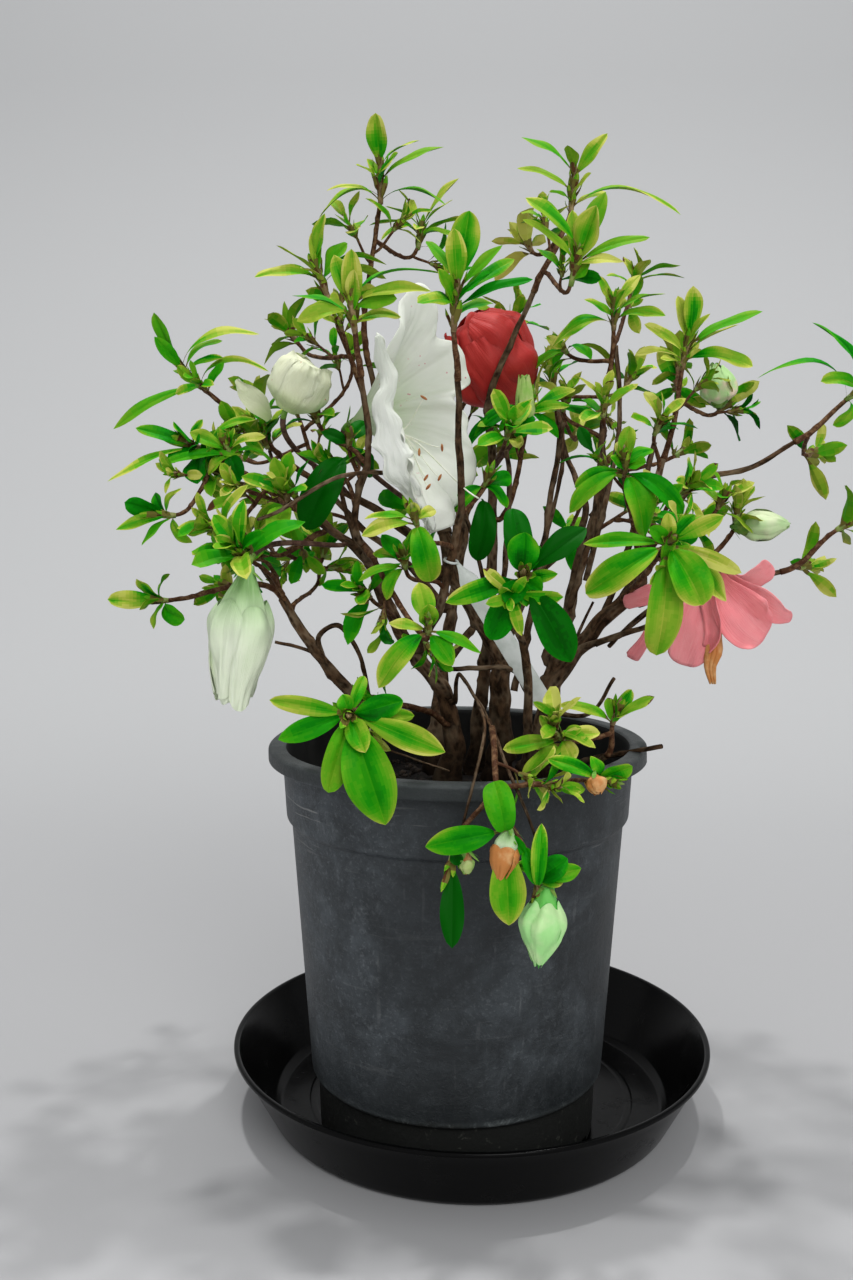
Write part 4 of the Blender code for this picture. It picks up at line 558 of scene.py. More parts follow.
# Whorls: how far down the shoot they reach, how near a leaf comes to wood, how far it may pass
# half way to another mass, which leaves show on edge, and the ways that turns are counted from
WHORL_DEPTH, LEAF_TO_WOOD, PAST_HALF_WAY = 10.0 * MM, 0.8 * MM, 2.0 * MM
ON_EDGE_BELOW, ON_EDGE_WIDTH = 5, 7.0
BUD_HINT, LEVEL_HINT, STEEP_HINT = (0.3, 0.9, 0.2), (0.31, 0.17, 0.93), (0.9, 0.3, 0.1)
SIDES = ("left", "right", "back")

# A leaf's points: how many along, and where they lie across. Finer for the tips that show best.
LEAF_GRID = (10, np.array([-1.0, -0.70, -0.07, 0.07, 0.70, 1.0]))
FINE_LEAF_GRID = (17, np.array([-1.0, -0.78, -0.52, -0.26, -0.05, 0.05, 0.26, 0.52, 0.78, 1.0]))
LARGE_LEAF_GRID = (31, np.array([-1.0, -0.90, -0.78, -0.65, -0.51, -0.37, -0.21, -0.04,
                                 0.04, 0.21, 0.37, 0.51, 0.65, 0.78, 0.90, 1.0]))
LARGE_LEAF_WIDTH = 10.0 * MM
LEAF_STALK = 0.13
LEAF_WIDTH, LEAF_TONE, LEAF_SPOILT = 10, 14, 16

# Greens of the leaves from the deepest shade to yellow, the olive of their feet, and the brown
# of spoilt ones. Bud scales are olive or brown, with a green tip.
LEAF_TONES = (
    (0.0005, 0.078, 0.0005), (0.0006, 0.128, 0.0006), (0.0022, 0.190, 0.0010),
    (0.010, 0.245, 0.0014), (0.032, 0.290, 0.0026), (0.070, 0.322, 0.0055),
    (0.128, 0.340, 0.011), (0.200, 0.368, 0.020), (0.290, 0.400, 0.033),
    (0.395, 0.450, 0.056), (0.500, 0.520, 0.105),
)
LEAF_OLIVE, LEAF_BROWN = (0.150, 0.130, 0.030), (0.100, 0.042, 0.018)
HALF_TONES = 2 * len(LEAF_TONES) - 1
OLIVE_SLOT, BROWN_SLOT = HALF_TONES, HALF_TONES + 1
SCALE_TONE, SCALE_TIP_SLOTS = len(LEAF_TONES) + 0.2, (11, 15)

# Petals: colours of the edge, the heart, the veins and the freckles, and the heart's reach
PETAL_COLOURS = {
    "white_petal": ((0.77, 0.79, 0.70), (0.52, 0.70, 0.34), (0.62, 0.70, 0.54),
                    (0.62, 0.10, 0.16), 0.66),
    "white_ruffle": ((0.80, 0.82, 0.75), (0.74, 0.77, 0.68), (0.66, 0.72, 0.60), None, 0.50),
    "red_petal": ((0.46, 0.022, 0.018), (0.30, 0.012, 0.010), (0.60, 0.06, 0.045), None, 0.50),
    "pink_petal": ((0.80, 0.19, 0.21), (0.62, 0.12, 0.12), (0.86, 0.36, 0.34), None, 0.50),
    "cream_petal": ((0.76, 0.80, 0.56), (0.54, 0.68, 0.30), (0.66, 0.64, 0.42),
                    (0.60, 0.16, 0.10), 0.50),
    "green_white_petal": ((0.84, 0.92, 0.70), (0.12, 0.35, 0.035), (0.62, 0.80, 0.48),
                          None, 0.62),
}

# Small parts: two colours, the roughness, and how fine the clouds are
PLAIN_COLOURS = {
    # The pot's inside: near black, as painted shade
    "dirty_inner_plastic": ((0.004, 0.004, 0.0035), (0.012, 0.012, 0.011), 0.8, 60.0),
    "bark_crumbs": ((0.007, 0.004, 0.0025), (0.028, 0.018, 0.011), 0.9, 300.0),
    "bud_scale_green": ((0.16, 0.26, 0.04), (0.30, 0.30, 0.10), 0.5, 300.0),
    "bud_scale_brown": ((0.16, 0.10, 0.04), (0.30, 0.22, 0.10), 0.6, 300.0),
    "sepal_green": ((0.10, 0.30, 0.03), (0.22, 0.38, 0.06), 0.5, 300.0),
    "withered_brown": ((0.50, 0.19, 0.045), (0.62, 0.36, 0.15), 0.6, 160.0),
    "thread_white": ((0.84, 0.84, 0.74), (0.76, 0.80, 0.62), 0.4, 300.0),
    "anther_brown": ((0.36, 0.11, 0.03), (0.50, 0.22, 0.07), 0.6, 300.0),
    "stalk_brown": ((0.060, 0.024, 0.014), (0.14, 0.075, 0.05), 0.7, 400.0),
    "bud_lime": ((0.30, 0.55, 0.10), (0.50, 0.60, 0.22), 0.5, 120.0),
    "bud_mint": ((0.36, 0.74, 0.26), (0.52, 0.78, 0.36), 0.5, 90.0),
    "bud_fresh_green": ((0.05, 0.42, 0.03), (0.16, 0.56, 0.10), 0.5, 110.0),
    "bud_blushed": ((0.46, 0.72, 0.30), (0.80, 0.62, 0.48), 0.5, 110.0),
    "bud_soft_green": ((0.44, 0.62, 0.30), (0.60, 0.68, 0.42), 0.5, 80.0),
    "label_plastic": ((0.62, 0.65, 0.62), (0.50, 0.54, 0.50), 0.35, 120.0),
}

# The label: where it ends, its loop's wire, its half width at the neck and below, its thickness
LABEL_END, LABEL_LOOP_RADIUS = (31.0, -52.0, 217.0), 0.6 * MM
LABEL_HALF_WIDTHS, LABEL_THICKNESS = (0.8, 4.5), 0.6 * MM

# Lamps: name, place, aim, size and power. Backdrop: where it starts to bend up, and how far
LAMPS = (
    ("key", (0.56, 0.34, 2.60), (0.0, 0.0, 0.2), 0.11, 20.0),
    ("second", (-0.40, 0.30, 2.60), (0.0, 0.0, 0.2), 0.13, 22.0),
    ("front", (0.6, -2.2, 1.7), (0.0, 0.0, 0.15), 1.4, 30.0),
    ("wall", (0.0, 0.1, 2.9), (0.0, 1.4, 0.9), 1.2, 5.0),
)
BEND_START, BEND_RADIUS = 0.5, 0.9

MERGE_DISTANCE = 1e-6
# Sockets of the Mix node when it mixes colours
MIX_SHARE, MIX_UNDER, MIX_OVER, MIX_RESULT = 0, 6, 7, 2


# Growing rule

LIMB_STEP = 1.6 * MM
TWIG_HANDLE = 0.30


def unit(v):
    """Vectors of length one, along the last axis."""
    v = np.asarray(v, float)
    return v / np.maximum(np.linalg.norm(v, axis=-1, keepdims=True), 1e-12)


def joined(*parts):
    """Arrays or numbers, spread to one shape, as the coordinates of points."""
    return np.stack(np.broadcast_arrays(*parts), axis=-1)


def far_along(points):
    """How far along a line each of its points lies."""
    return np.concatenate([[0], np.cumsum(np.linalg.norm(np.diff(points, axis=0), axis=1))])


def spun(turn, first, second):
    """The direction cos(turn) * first + sin(turn) * second, for one angle or many."""
    turn = np.asarray(turn)[..., None]
    return np.cos(turn) * first + np.sin(turn) * second


def facing(heading, hint=UP):
    """Two directions that are square to the heading and to each other."""
    first = unit(np.cross(heading, hint))
    return first, np.cross(heading, first)


def curved(a, b, c, d, t):
    """The Catmull-Rom curve from b to c as t goes from 0 to 1."""
    return 0.5 * (2 * b + (c - a) * t + (2 * a - 5 * b + 4 * c - d) * t**2
                  + (3 * b - a - 3 * c + d) * t**3)


def through(places, steps):
    """Points in equal steps along a smooth curve through the given places."""
    known = np.array(places, float)
    ends = np.vstack([2 * known[0] - known[1], known, 2 * known[-1] - known[-2]])
    along = np.linspace(0, len(known) - 1, 8 * max(steps, len(known)) + 1)
    span = np.minimum(along.astype(int), len(known) - 2)
    fine = curved(*(ends[span + i] for i in range(4)), (along - span)[:, None])
    length = far_along(fine)
    wanted = np.linspace(0, length[-1], steps + 1)
    return np.stack([np.interp(wanted, length, fine[:, i]) for i in range(3)], axis=1)


class Limb:
    """A limb's centre line and radii, and where on it another piece can sit."""

    def __init__(self, points, radii):
        self.points = np.asarray(points, float)
        self.radii = np.asarray(radii, float)

    def at(self, share):
        """Place, radius and direction at a share of the limb's length."""
        where = share * (len(self.points) - 1)
        i = min(int(where), len(self.points) - 2)
        part = where - i
        place = (1 - part) * self.points[i] + part * self.points[i + 1]
        radius = (1 - part) * self.radii[i] + part * self.radii[i + 1]
        return place, radius, unit(self.points[i + 1] - self.points[i])

    def seat(self, share, towards, foot_radius):
        """Where a piece that goes towards a place leaves the limb, and its first direction."""
        place, radius, heading = self.at(share)
        if share >= 1:
            return place + heading * CLEAR, heading
        away = towards - place
        along = FORK_LEAN if away @ heading > 0 else BACK_FORK_LEAN
        away = unit(away - heading * (away @ heading))
        leaning = unit(away + heading * along)
        stand_off = foot_radius * abs(leaning @ heading)
        return place + away * (radius + CLEAR + stand_off), leaning


def grow_limbs():
    """Every stem and bough as a fine centre line with its radii.

    A place of two numbers is on the soil. From foot to tip the radius is foot + (tip - foot) *
    along^0.8, and a stem also flares at the soil.
    """
    limbs = {}
    for name, (carrier, share, foot_radius, tip_radius, places) in LIMBS.items():
        route = [np.array((*place, STEM_FOOT / MM)[:3]) * MM for place in places]
        if carrier is None:
            route.insert(1, route[0] + UP * STRAIGHT_FOOT)
        else:
            seat, away = limbs[carrier].seat(share, route[0], foot_radius * MM)
            route[:0] = [seat, seat + away * STRAIGHT_FORK]
        points = through(route, int(far_along(through(route, 12))[-1] / LIMB_STEP))
        along = np.linspace(0, 1, len(points))
        radii = (foot_radius + (tip_radius - foot_radius) * along**TAPER_POWER) * MM
        if carrier is None:
            radii *= 1 + FLARE_SHARE * np.exp(-(points[:, 2] - points[0, 2]) / FLARE_HEIGHT)
        limbs[name] = Limb(points, radii)
    return limbs


def twig_line(start, away, end, heading, bend, steps):
    """A twig leaves its seat squarely, bows by the bend, and ends along the heading.

    It is the cubic Bezier curve whose handles are 0.30 of the straight way long.
    """
    length = np.linalg.norm(end - start)
    handle = TWIG_HANDLE * length
    first = start + away * handle + bend * length
    last = end - heading * handle + bend * length
    t = np.linspace(0, 1, steps + 1)[:, None]
    return (start * (1 - t)**3 + 3 * first * t * (1 - t)**2 + 3 * last * t**2 * (1 - t)
            + end * t**3)


# Small surfaces gathered into pieces

class Heap:
    """Many small surfaces that become one mesh, each face with a UV place and a slot."""

    def __init__(self):
        self.points, self.faces, self.uvs, self.slots = [], [], [], []
        self.count = 0

    def add(self, points, slot=0, around=False, uv=None):
        """Grids of points as (..., rows, columns, 3). Around joins the last column to the first.

        A slot is one number, or one for each face. The UV is the share along and across.
        """
        points = np.asarray(points, float)
        rows, columns = points.shape[-3:-1]
        points = points.reshape(-1, rows, columns, 3)
        many = len(points)
        index = self.count + np.arange(many * rows * columns).reshape(many, rows, columns)
        if around:
            index = np.concatenate([index, index[:, :, :1]], axis=2)
        wide = index.shape[2]
        if uv is None:
            uv = joined(np.linspace(0, 1, rows)[:, None], np.linspace(0, 1, wide))
        uv = np.broadcast_to(uv, (many, rows, wide, 2))
        first, last = slice(None, -1), slice(1, None)
        corners = ((first, first), (first, last), (last, last), (last, first))
        faces = np.stack([index[:, a, b] for a, b in corners], axis=-1)
        self.uvs.append(np.stack([uv[:, a, b] for a, b in corners], axis=-2).reshape(-1, 2))
        self.slots.append(np.broadcast_to(slot, faces.shape[:3]).reshape(-1))
        self.faces.append(faces.reshape(-1, 4))
        self.points.append(points.reshape(-1, 3))
        self.count += points.size // 3

    def piece(self, name, finishes, slot_name, merge=True):
        """The finished object, riding on the plant's one body."""
        mesh = bpy.data.meshes.new(name)
        faces = np.concatenate(self.faces).astype(np.int32)
        points = np.concatenate(self.points).astype(np.float32)
        mesh.vertices.add(len(points))
        mesh.vertices.foreach_set("co", points.ravel())
        mesh.loops.add(faces.size)
        mesh.loops.foreach_set("vertex_index", faces.ravel())
        mesh.polygons.add(len(faces))
        mesh.polygons.foreach_set("loop_start", np.arange(0, faces.size, 4, dtype=np.int32))
        mesh.polygons.foreach_set("material_index", np.concatenate(self.slots).astype(np.int32))
        mesh.update(calc_edges=True)
        layer = mesh.uv_layers.new(name="shares")
        layer.uv.foreach_set("vector", np.concatenate(self.uvs).astype(np.float32).ravel())
        if merge:
            work = bmesh.new()
            work.from_mesh(mesh)
            bmesh.ops.remove_doubles(work, verts=work.verts, dist=MERGE_DISTANCE)
            work.to_mesh(mesh)
            work.free()
        mesh.shade_smooth()
        for finish in finishes:
            mesh.materials.append(finish)
        obj = bpy.data.objects.new(name, mesh)
        bpy.context.scene.collection.objects.link(obj)
        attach(obj, "root")
        return obj


def frames_along(points):
    """Two square directions carried along the line without twisting."""
    tangent = unit(np.gradient(points, axis=0))
    normal = np.empty_like(tangent)
    first = np.eye(3)[np.argmin(np.abs(tangent[0]))]
    normal[0] = unit(first - tangent[0] * (first @ tangent[0]))
    for i in range(1, len(points)):
        n = normal[i - 1] - tangent[i] * (normal[i - 1] @ tangent[i])
        normal[i] = n / math.sqrt(n @ n)
    return normal, np.cross(tangent, normal)


def tube(points, radii, sides, closed=True):
    """Rings round a line: centre + r * (cos a * normal + sin a * binormal).

    The radii are one for each ring, or one for each ring and side.
    """
    normal, binormal = frames_along(points)
    out = spun(math.tau * np.arange(sides) / sides, normal[:, None], binormal[:, None])
    radii = np.asarray(radii, float)
    if radii.ndim == 1:
        radii = radii[:, None]
    rings = points[:, None] + out * radii[:, :, None]
    if closed:
        first, last = points[:1, None], points[-1:, None]
        rings = np.concatenate([np.repeat(first, sides, axis=1), rings,
                                np.repeat(last, sides, axis=1)])
    return rings


def ripples(places, scale, seed, count=14):
    """Smooth noise from -1 to 1: a sum of sine waves that run in seeded directions.

    The places are (..., 3), and the scale is the size of a bump in the same unit.
    """
    rng = np.random.default_rng([SEED, seed])
    ways = rng.normal(0, 1, (count, 3))
    ways = unit(ways) * rng.uniform(0.6, 1.6, (count, 1)) * math.pi / scale
    phase = rng.uniform(0, math.tau, count)
    return np.sin(np.asarray(places) @ ways.T + phase).sum(axis=-1) / math.sqrt(2 * count)


# Finishes

class Value:
    """A socket in a finish's node tree. Sums and products of values add Math nodes."""

    def __init__(self, finish, socket):
        self.finish, self.socket = finish, socket

    def math(self, operation, first, second):
        return self.finish.node("ShaderNodeMath", {0: first, 1: second}, operation=operation)

    def __add__(self, other):
        return self.math("ADD", self, other)

    __radd__ = __add__

    def __mul__(self, other):
        return self.math("MULTIPLY", self, other)

    __rmul__ = __mul__

    def __sub__(self, other):
        return self.math("SUBTRACT", self, other)

    def __rsub__(self, other):
        return self.math("SUBTRACT", other, self)

    def between(self, low, high):
        """0 below low and 1 above high, eased between them."""
        inputs = {"Value": self, "From Min": low, "From Max": high}
        return self.finish.node("ShaderNodeMapRange", inputs, interpolation_type="SMOOTHSTEP")

    def band(self, start, low, high, end):
        """1 from low to high, and 0 below start and above end."""
        return self.between(start, low) * (1 - self.between(high, end))


class Finish:
    """A material that is worked out by nodes around one Principled shader."""

    def __init__(self, name, **constants):
        self.material = bpy.data.materials.new(name)
        self.material.use_nodes = True
        self.tree = self.material.node_tree
        self.shader = self.tree.nodes["Principled BSDF"]
        sockets = {s.name.lower().replace(" ", "_"): s for s in self.shader.inputs}
        for name, value in constants.items():
            self.feed(sockets[name], value)

    def feed(self, socket, value):
        """Links a value to a socket, or sets it there."""
        if isinstance(value, Value):
            self.tree.links.new(value.socket, socket)
        elif socket.type == "RGBA":
            socket.default_value = (*value, 1.0)
        else:
            socket.default_value = value

    def node(self, kind, inputs, output=0, **settings):
        """A new node with its settings, then the values or links of its sockets."""
        made = self.tree.nodes.new(kind)
        for name, value in settings.items():
            setattr(made, name, value)
        for name, value in inputs.items():
            self.feed(made.inputs[name], value)
        return Value(self, made.outputs[output])

    def place(self, scale=(1, 1, 1), uv=False):
        """Object coordinates in metres, or the piece's own UV, stretched by a scale."""
        start = self.node("ShaderNodeTexCoord", {}, output="UV" if uv else "Object")
        return self.node("ShaderNodeMapping", {"Vector": start, "Scale": scale})

    def axis(self, name, uv=False):
        """How far right (X), back (Y) or up (Z) a point is. The UV's X runs along the piece."""
        return self.node("ShaderNodeSeparateXYZ", {0: self.place(uv=uv)}, output=name)

    def noise(self, scale, detail=4.0, roughness=0.55, place=None, distortion=0.0):
        inputs = {"Vector": place or self.place(), "Scale": scale, "Detail": detail,
                  "Roughness": roughness, "Distortion": distortion}
        return self.node("ShaderNodeTexNoise", inputs)

    def cells(self, scale, place=None):
        """Distance to the nearest of many scattered seeds."""
        inputs = {"Vector": place or self.place(), "Scale": scale}
        return self.node("ShaderNodeTexVoronoi", inputs, output="Distance")

    def layered(self, base, *layers):
        """A base colour under others, each given as its share, from 0 to 1, and its colour."""
        for share, colour in layers:
            inputs = {MIX_SHARE: share, MIX_UNDER: base, MIX_OVER: colour}
            base = self.node("ShaderNodeMix", inputs, output=MIX_RESULT, data_type="RGBA")
        return base

    def bump(self, height, depth, strength=1.0):
        """Feeds the shader's Normal with bumps of the given depth in metres."""
        inputs = {"Height": height, "Distance": depth, "Strength": strength}
        self.feed(self.shader.inputs["Normal"], self.node("ShaderNodeBump", inputs))

    def colour(self, value):
        self.feed(self.shader.inputs["Base Color"], value)

    def rough(self, value):
        self.feed(self.shader.inputs["Roughness"], value)


def pot_finish():
    """Weathered dark plastic: cloudy bluish bloom, rubbed pale scuffs, scratches, a dirty foot.

    The bloom is palest at the left, as painted light, and painted light brightens the right side.
    By height come the dark rim with a painted highlight along its top edge, a scratched collar,
    a darker end to the body, a painted highlight on the step, and dirt on the foot.
    """
    made = Finish("weathered_grey_plastic", specular_ior_level=0.32)
    clouds = made.noise(30.0, 9.0, 0.76, distortion=0.4).between(0.36, 0.68)
    grain = made.noise(150.0, 6.0, 0.80).between(0.42, 0.66)
    speck = made.noise(620.0, 2.0, 0.6).between(0.56, 0.68)
    worn = made.noise(17.0, 6.0, 0.62, distortion=1.4).between(0.38, 0.60)
    rubbed = made.noise(75.0, 8.0, 0.80, made.place((1.0, 1.0, 0.8)), 0.8).between(0.52, 0.66)
    scratch = made.noise(260.0, 2.0, 0.5, made.place((1.0, 1.0, 0.08))).between(0.66, 0.74)
    nick = made.noise(230.0, 2.0, 0.5, made.place((0.12, 0.12, 1.6)), 1.5).between(0.64, 0.72)
    fleck = made.noise(210.0, 4.0, 0.7).between(0.60, 0.70)
    side, height = made.axis("X"), made.axis("Z")
    # Painted light on the pot's sides: left marks the paler bloom at the left side, right a painted
    # highlight on the right side
    left = 1 - side.between(-0.092, -0.010)
    right = side.between(0.050, 0.088)
    collar = height.band(0.150, 0.158, 0.178, 0.188)
    low = 1 - height.between(0.036, 0.075)
    # Painted highlight: a thin pale band along the step
    step = height.band(0.0325, 0.0340, 0.0352, 0.0378)
    dirt = 1 - (height + made.noise(60.0, 8.0, 0.75) * 0.014).between(0.0395, 0.0430)
    made.colour(made.layered(
        (0.013, 0.016, 0.018),
        (clouds, (0.043, 0.051, 0.057)),
        # The paler layers at the left and the right are painted light; the left also gets more
        # specks, rubbing and nicks, and fewer dark patches
        (left * (0.20 + clouds * 0.55 + grain * 0.25), (0.080, 0.094, 0.106)),
        (right * (0.30 + grain * 0.40), (0.100, 0.112, 0.118)),
        (grain * (0.15 + clouds * 0.55) * 0.50, (0.084, 0.097, 0.106)),
        (speck * (0.06 + clouds * 0.20 + left * 0.30), (0.150, 0.166, 0.178)),
        (rubbed * grain * (0.30 + left * 0.40), (0.150, 0.165, 0.175)),
        (scratch * clouds * 0.35, (0.19, 0.20, 0.205)),
        (nick * (0.15 + collar * 0.55) * (0.4 + left * 0.6), (0.26, 0.265, 0.26)),
        ((1 - worn) * (1 - left * 0.55) * 0.62, (0.0105, 0.0130, 0.0145)),
        (height.between(0.1865, 0.1900) * 0.75, (0.027, 0.032, 0.032)),
        # Painted highlight: a pale line along the lip's top edge
        (height.between(0.1925, 0.1940) * 0.28, (0.110, 0.124, 0.124)),
        (low * (0.30 + clouds * 0.30), (0.013, 0.015, 0.015)),
        (dirt * 0.92, (0.0075, 0.008, 0.0065)),
        (dirt * fleck * 0.60, (0.080, 0.084, 0.070)),
        # Painted highlight on the step, stronger where the plastic is rubbed
        (step * (0.10 + rubbed * 0.60), (0.190, 0.215, 0.215))))
    made.rough(0.48 + clouds * 0.15 + dirt * 0.2)
    made.bump(clouds * 0.3 + grain * 0.5 + speck * 0.2, 0.30 * MM)
    return made.material


def saucer_finish():
    """Glossy black plastic, faintly uneven, with a little dust."""
    made = Finish("glossy_black_plastic", specular_ior_level=0.085)
    dust = made.noise(38.0, 6.0, 0.65).between(0.50, 0.80)
    specks = 1 - made.cells(300.0).between(0.05, 0.09)
    made.colour(made.layered((0.0012, 0.0012, 0.0012), (dust * 0.5, (0.0055, 0.0055, 0.0052)),
                             (specks * dust * 0.7, (0.08, 0.07, 0.055))))
    made.rough(0.20 + dust * 0.25)
    made.bump(made.noise(70.0, 3.0), 0.12 * MM, 0.5)
    return made.material


def soil_finish():
    """Peat: dark crumbs and paler bits of bark and grit, all darkened as painted shade."""
    made = Finish("peaty_soil", roughness=0.95, specular_ior_level=0.2)
    lumps = made.noise(230.0, 6.0, 0.7)
    bits = 1 - made.cells(260.0).between(0.10, 0.30)
    # Painted shade: the soil's colours are kept near black for the inside of the pot
    made.colour(made.layered((0.0015, 0.001, 0.0008),
                             (lumps.between(0.35, 0.7), (0.008, 0.005, 0.0035)),
                             (bits * 0.30, (0.030, 0.020, 0.013))))
    made.bump(lumps, 1.2 * MM)
    return made.material


def bark_finish():
    """Thin flaking bark: dark furrows, grey-brown plates and pale worn flecks, and painted
    shade low down, inside the pot.
    """
    made = Finish("azalea_bark", specular_ior_level=0.06)
    along = made.place((150.0, 5.0, 1.0), uv=True)
    furrows = made.noise(1.0, 5.0, 0.65, along, 0.6)
    flakes = made.cells(1.6, along).between(0.15, 0.75)
    patches = made.noise(60.0, 4.0, 0.6).between(0.38, 0.66)
    moss = made.noise(34.0, 3.0).between(0.60, 0.76)
    # Painted shade: the stems' feet inside the pot are darkened almost to black
    foot = 1 - made.axis("Z").between(0.170, 0.212)
    made.colour(made.layered((0.015, 0.008, 0.004),
                             (furrows.between(0.34, 0.66), (0.108, 0.060, 0.032)),
                             (patches * flakes * 0.70, (0.230, 0.165, 0.105)),
                             (moss * 0.25, (0.060, 0.065, 0.030)),
                             (foot * 0.85, (0.005, 0.0035, 0.0025))))
    made.rough(0.78 + furrows * 0.2)
    made.bump(furrows * 0.7 + flakes * 0.3, 0.9 * MM)
    return made.material


def twig_finish():
    """Young bark: smooth red-brown with patches of paler skin and fine pale marks."""
    made = Finish("twig_bark", specular_ior_level=0.08)
    skin = made.noise(330.0, 4.0, 0.6).between(0.44, 0.68)
    rings = made.noise(900.0, 2.0)
    made.colour(made.layered((0.062, 0.024, 0.011), (skin, (0.185, 0.100, 0.050)),
                             (rings.between(0.55, 0.75) * 0.35, (0.28, 0.19, 0.11))))
    made.rough(0.60 + skin * 0.25)
    made.bump(rings * 0.5 + skin * 0.5, 0.3 * MM)
    return made.material


def leaf_finishes():
    """A plain colour for each tone and half tone, then olive and brown, with one soft sheen."""
    made = []
    along = np.linspace(0, len(LEAF_TONES) - 1, HALF_TONES)
    tones = np.stack([np.interp(along, np.arange(len(LEAF_TONES)), shade)
                      for shade in np.transpose(LEAF_TONES)], axis=-1)
    for i, colour in enumerate((*tones.tolist(), LEAF_OLIVE, LEAF_BROWN)):
        leaf = Finish(f"leaf_tone_{i}", base_color=tuple(colour), roughness=0.5,
                      specular_ior_level=0.05)
        made.append(leaf.material)
    return made


@functools.cache
def petal_finish(name):
    """A petal: its heart's colour, faint veins that run out to the edge, and some freckles.

    The UV runs from the flower's heart, 0, to the petal's edge, 1, and across the petal. The
    heart's colour fades out by the reach.
    """
    edge, heart, vein, spots, reach = PETAL_COLOURS[name]
    made = Finish(name, roughness=0.55, specular_ior_level=0.30, subsurface_weight=0.25,
                  subsurface_radius=(0.004, 0.004, 0.004), subsurface_scale=1.0)
    veins = made.noise(1.0, 3.0, 0.6, made.place((3.0, 30.0, 1.0), uv=True), 0.4)
    clouds = made.noise(60.0, 3.0).between(0.40, 0.70)
    base = made.layered(heart, (made.axis("X", uv=True).between(0.02, reach), edge),
                        (veins.between(0.52, 0.72) * 0.30, vein), (clouds * 0.25, vein))
    if spots:
        freckles = 1 - made.cells(330.0).between(0.10, 0.19)
        some = made.noise(90.0, 2.0).between(0.56, 0.66)
        base = made.layered(base, (freckles * some * 0.8, spots))
    made.colour(base)
    made.bump(veins, 0.5 * MM, 0.7)
    return made.material


@functools.cache
def plain_finish(name):
    """One colour clouded with another, for small parts."""
    colour, other, roughness, scale = PLAIN_COLOURS[name]
    made = Finish(name, specular_ior_level=0.35)
    clouds = made.noise(scale)
    made.colour(made.layered(colour, (clouds.between(0.4, 0.65), other)))
    made.rough(roughness + clouds * 0.1)
    made.bump(clouds, 0.15 * MM)
    return made.material


# Pot, saucer and soil

def turned(profile, steps):
    """A profile of (radius, height) turned once round Z, as rows of rings."""
    turn = math.tau * np.arange(steps) / steps
    radius, height = profile[:, :1], profile[:, 1:]
    return joined(radius * np.cos(turn), radius * np.sin(turn), height)


def rounded(profile, radius, steps=4):
    """The profile with each corner eased by a curve that starts a radius before it."""
    profile = np.asarray(profile, float)
    made = [profile[0]]
    for before, corner, after in zip(profile, profile[1:], profile[2:]):
        to, on = before - corner, after - corner
        near = min(radius, 0.45 * np.linalg.norm(to), 0.45 * np.linalg.norm(on))
        start, end = corner + unit(to) * near, corner + unit(on) * near
        for t in np.linspace(0, 1, steps + 1):
            made.append((1 - t)**2 * start + 2 * t * (1 - t) * corner + t**2 * end)
    made.append(profile[-1])
    return np.array(made)


def split_long(profile, most):
    """The profile with points added wherever two are more than a length apart."""
    made = [profile[0]]
    for before, after in zip(profile, profile[1:]):
        pieces = max(1, math.ceil(np.linalg.norm(after - before) / most))
        made += [before + (after - before) * i / pieces for i in range(1, pieces + 1)]
    return np.array(made)


def make_saucer():
    """The turned saucer, with a rounded lip and two low rings on its floor."""
    wall_foot = SAUCER_BASE_RADIUS - SAUCER_WALL
    wall_top = SAUCER_RIM_RADIUS - SAUCER_WALL
    under_lip = SAUCER_HEIGHT - SAUCER_LIP
    outline = [
        (0.0, 0.0),
        (SAUCER_BASE_RADIUS - SAUCER_CORNER / 2, 0.0),
        (SAUCER_BASE_RADIUS + SAUCER_CORNER / 2, SAUCER_CORNER),
        (wall_top, under_lip),
        (SAUCER_RIM_RADIUS, under_lip + 0.2 * MM),
        (SAUCER_RIM_RADIUS, SAUCER_HEIGHT),
        (wall_top - 0.6 * MM, SAUCER_HEIGHT),
        (wall_foot + SAUCER_CORNER / 2, SAUCER_FLOOR + SAUCER_CORNER),
        (wall_foot - SAUCER_CORNER, SAUCER_FLOOR),
    ]
    for share in FLOOR_RINGS:
        for aside, rise in ((2.0, 0), (1.2, 1), (-1.2, 1), (-2.0, 0)):
            outline.append((SAUCER_BASE_RADIUS * share + aside * MM,
                            SAUCER_FLOOR + rise * FLOOR_RING_HEIGHT))
    outline.append((0.0, SAUCER_FLOOR))
    heap = Heap()
    heap.add(turned(split_long(rounded(outline, 1.1 * MM), 6 * MM), 192), around=True)
    saucer = heap.piece("saucer_dish", [saucer_finish()], "saucer")
    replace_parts(saucer, "saucer")


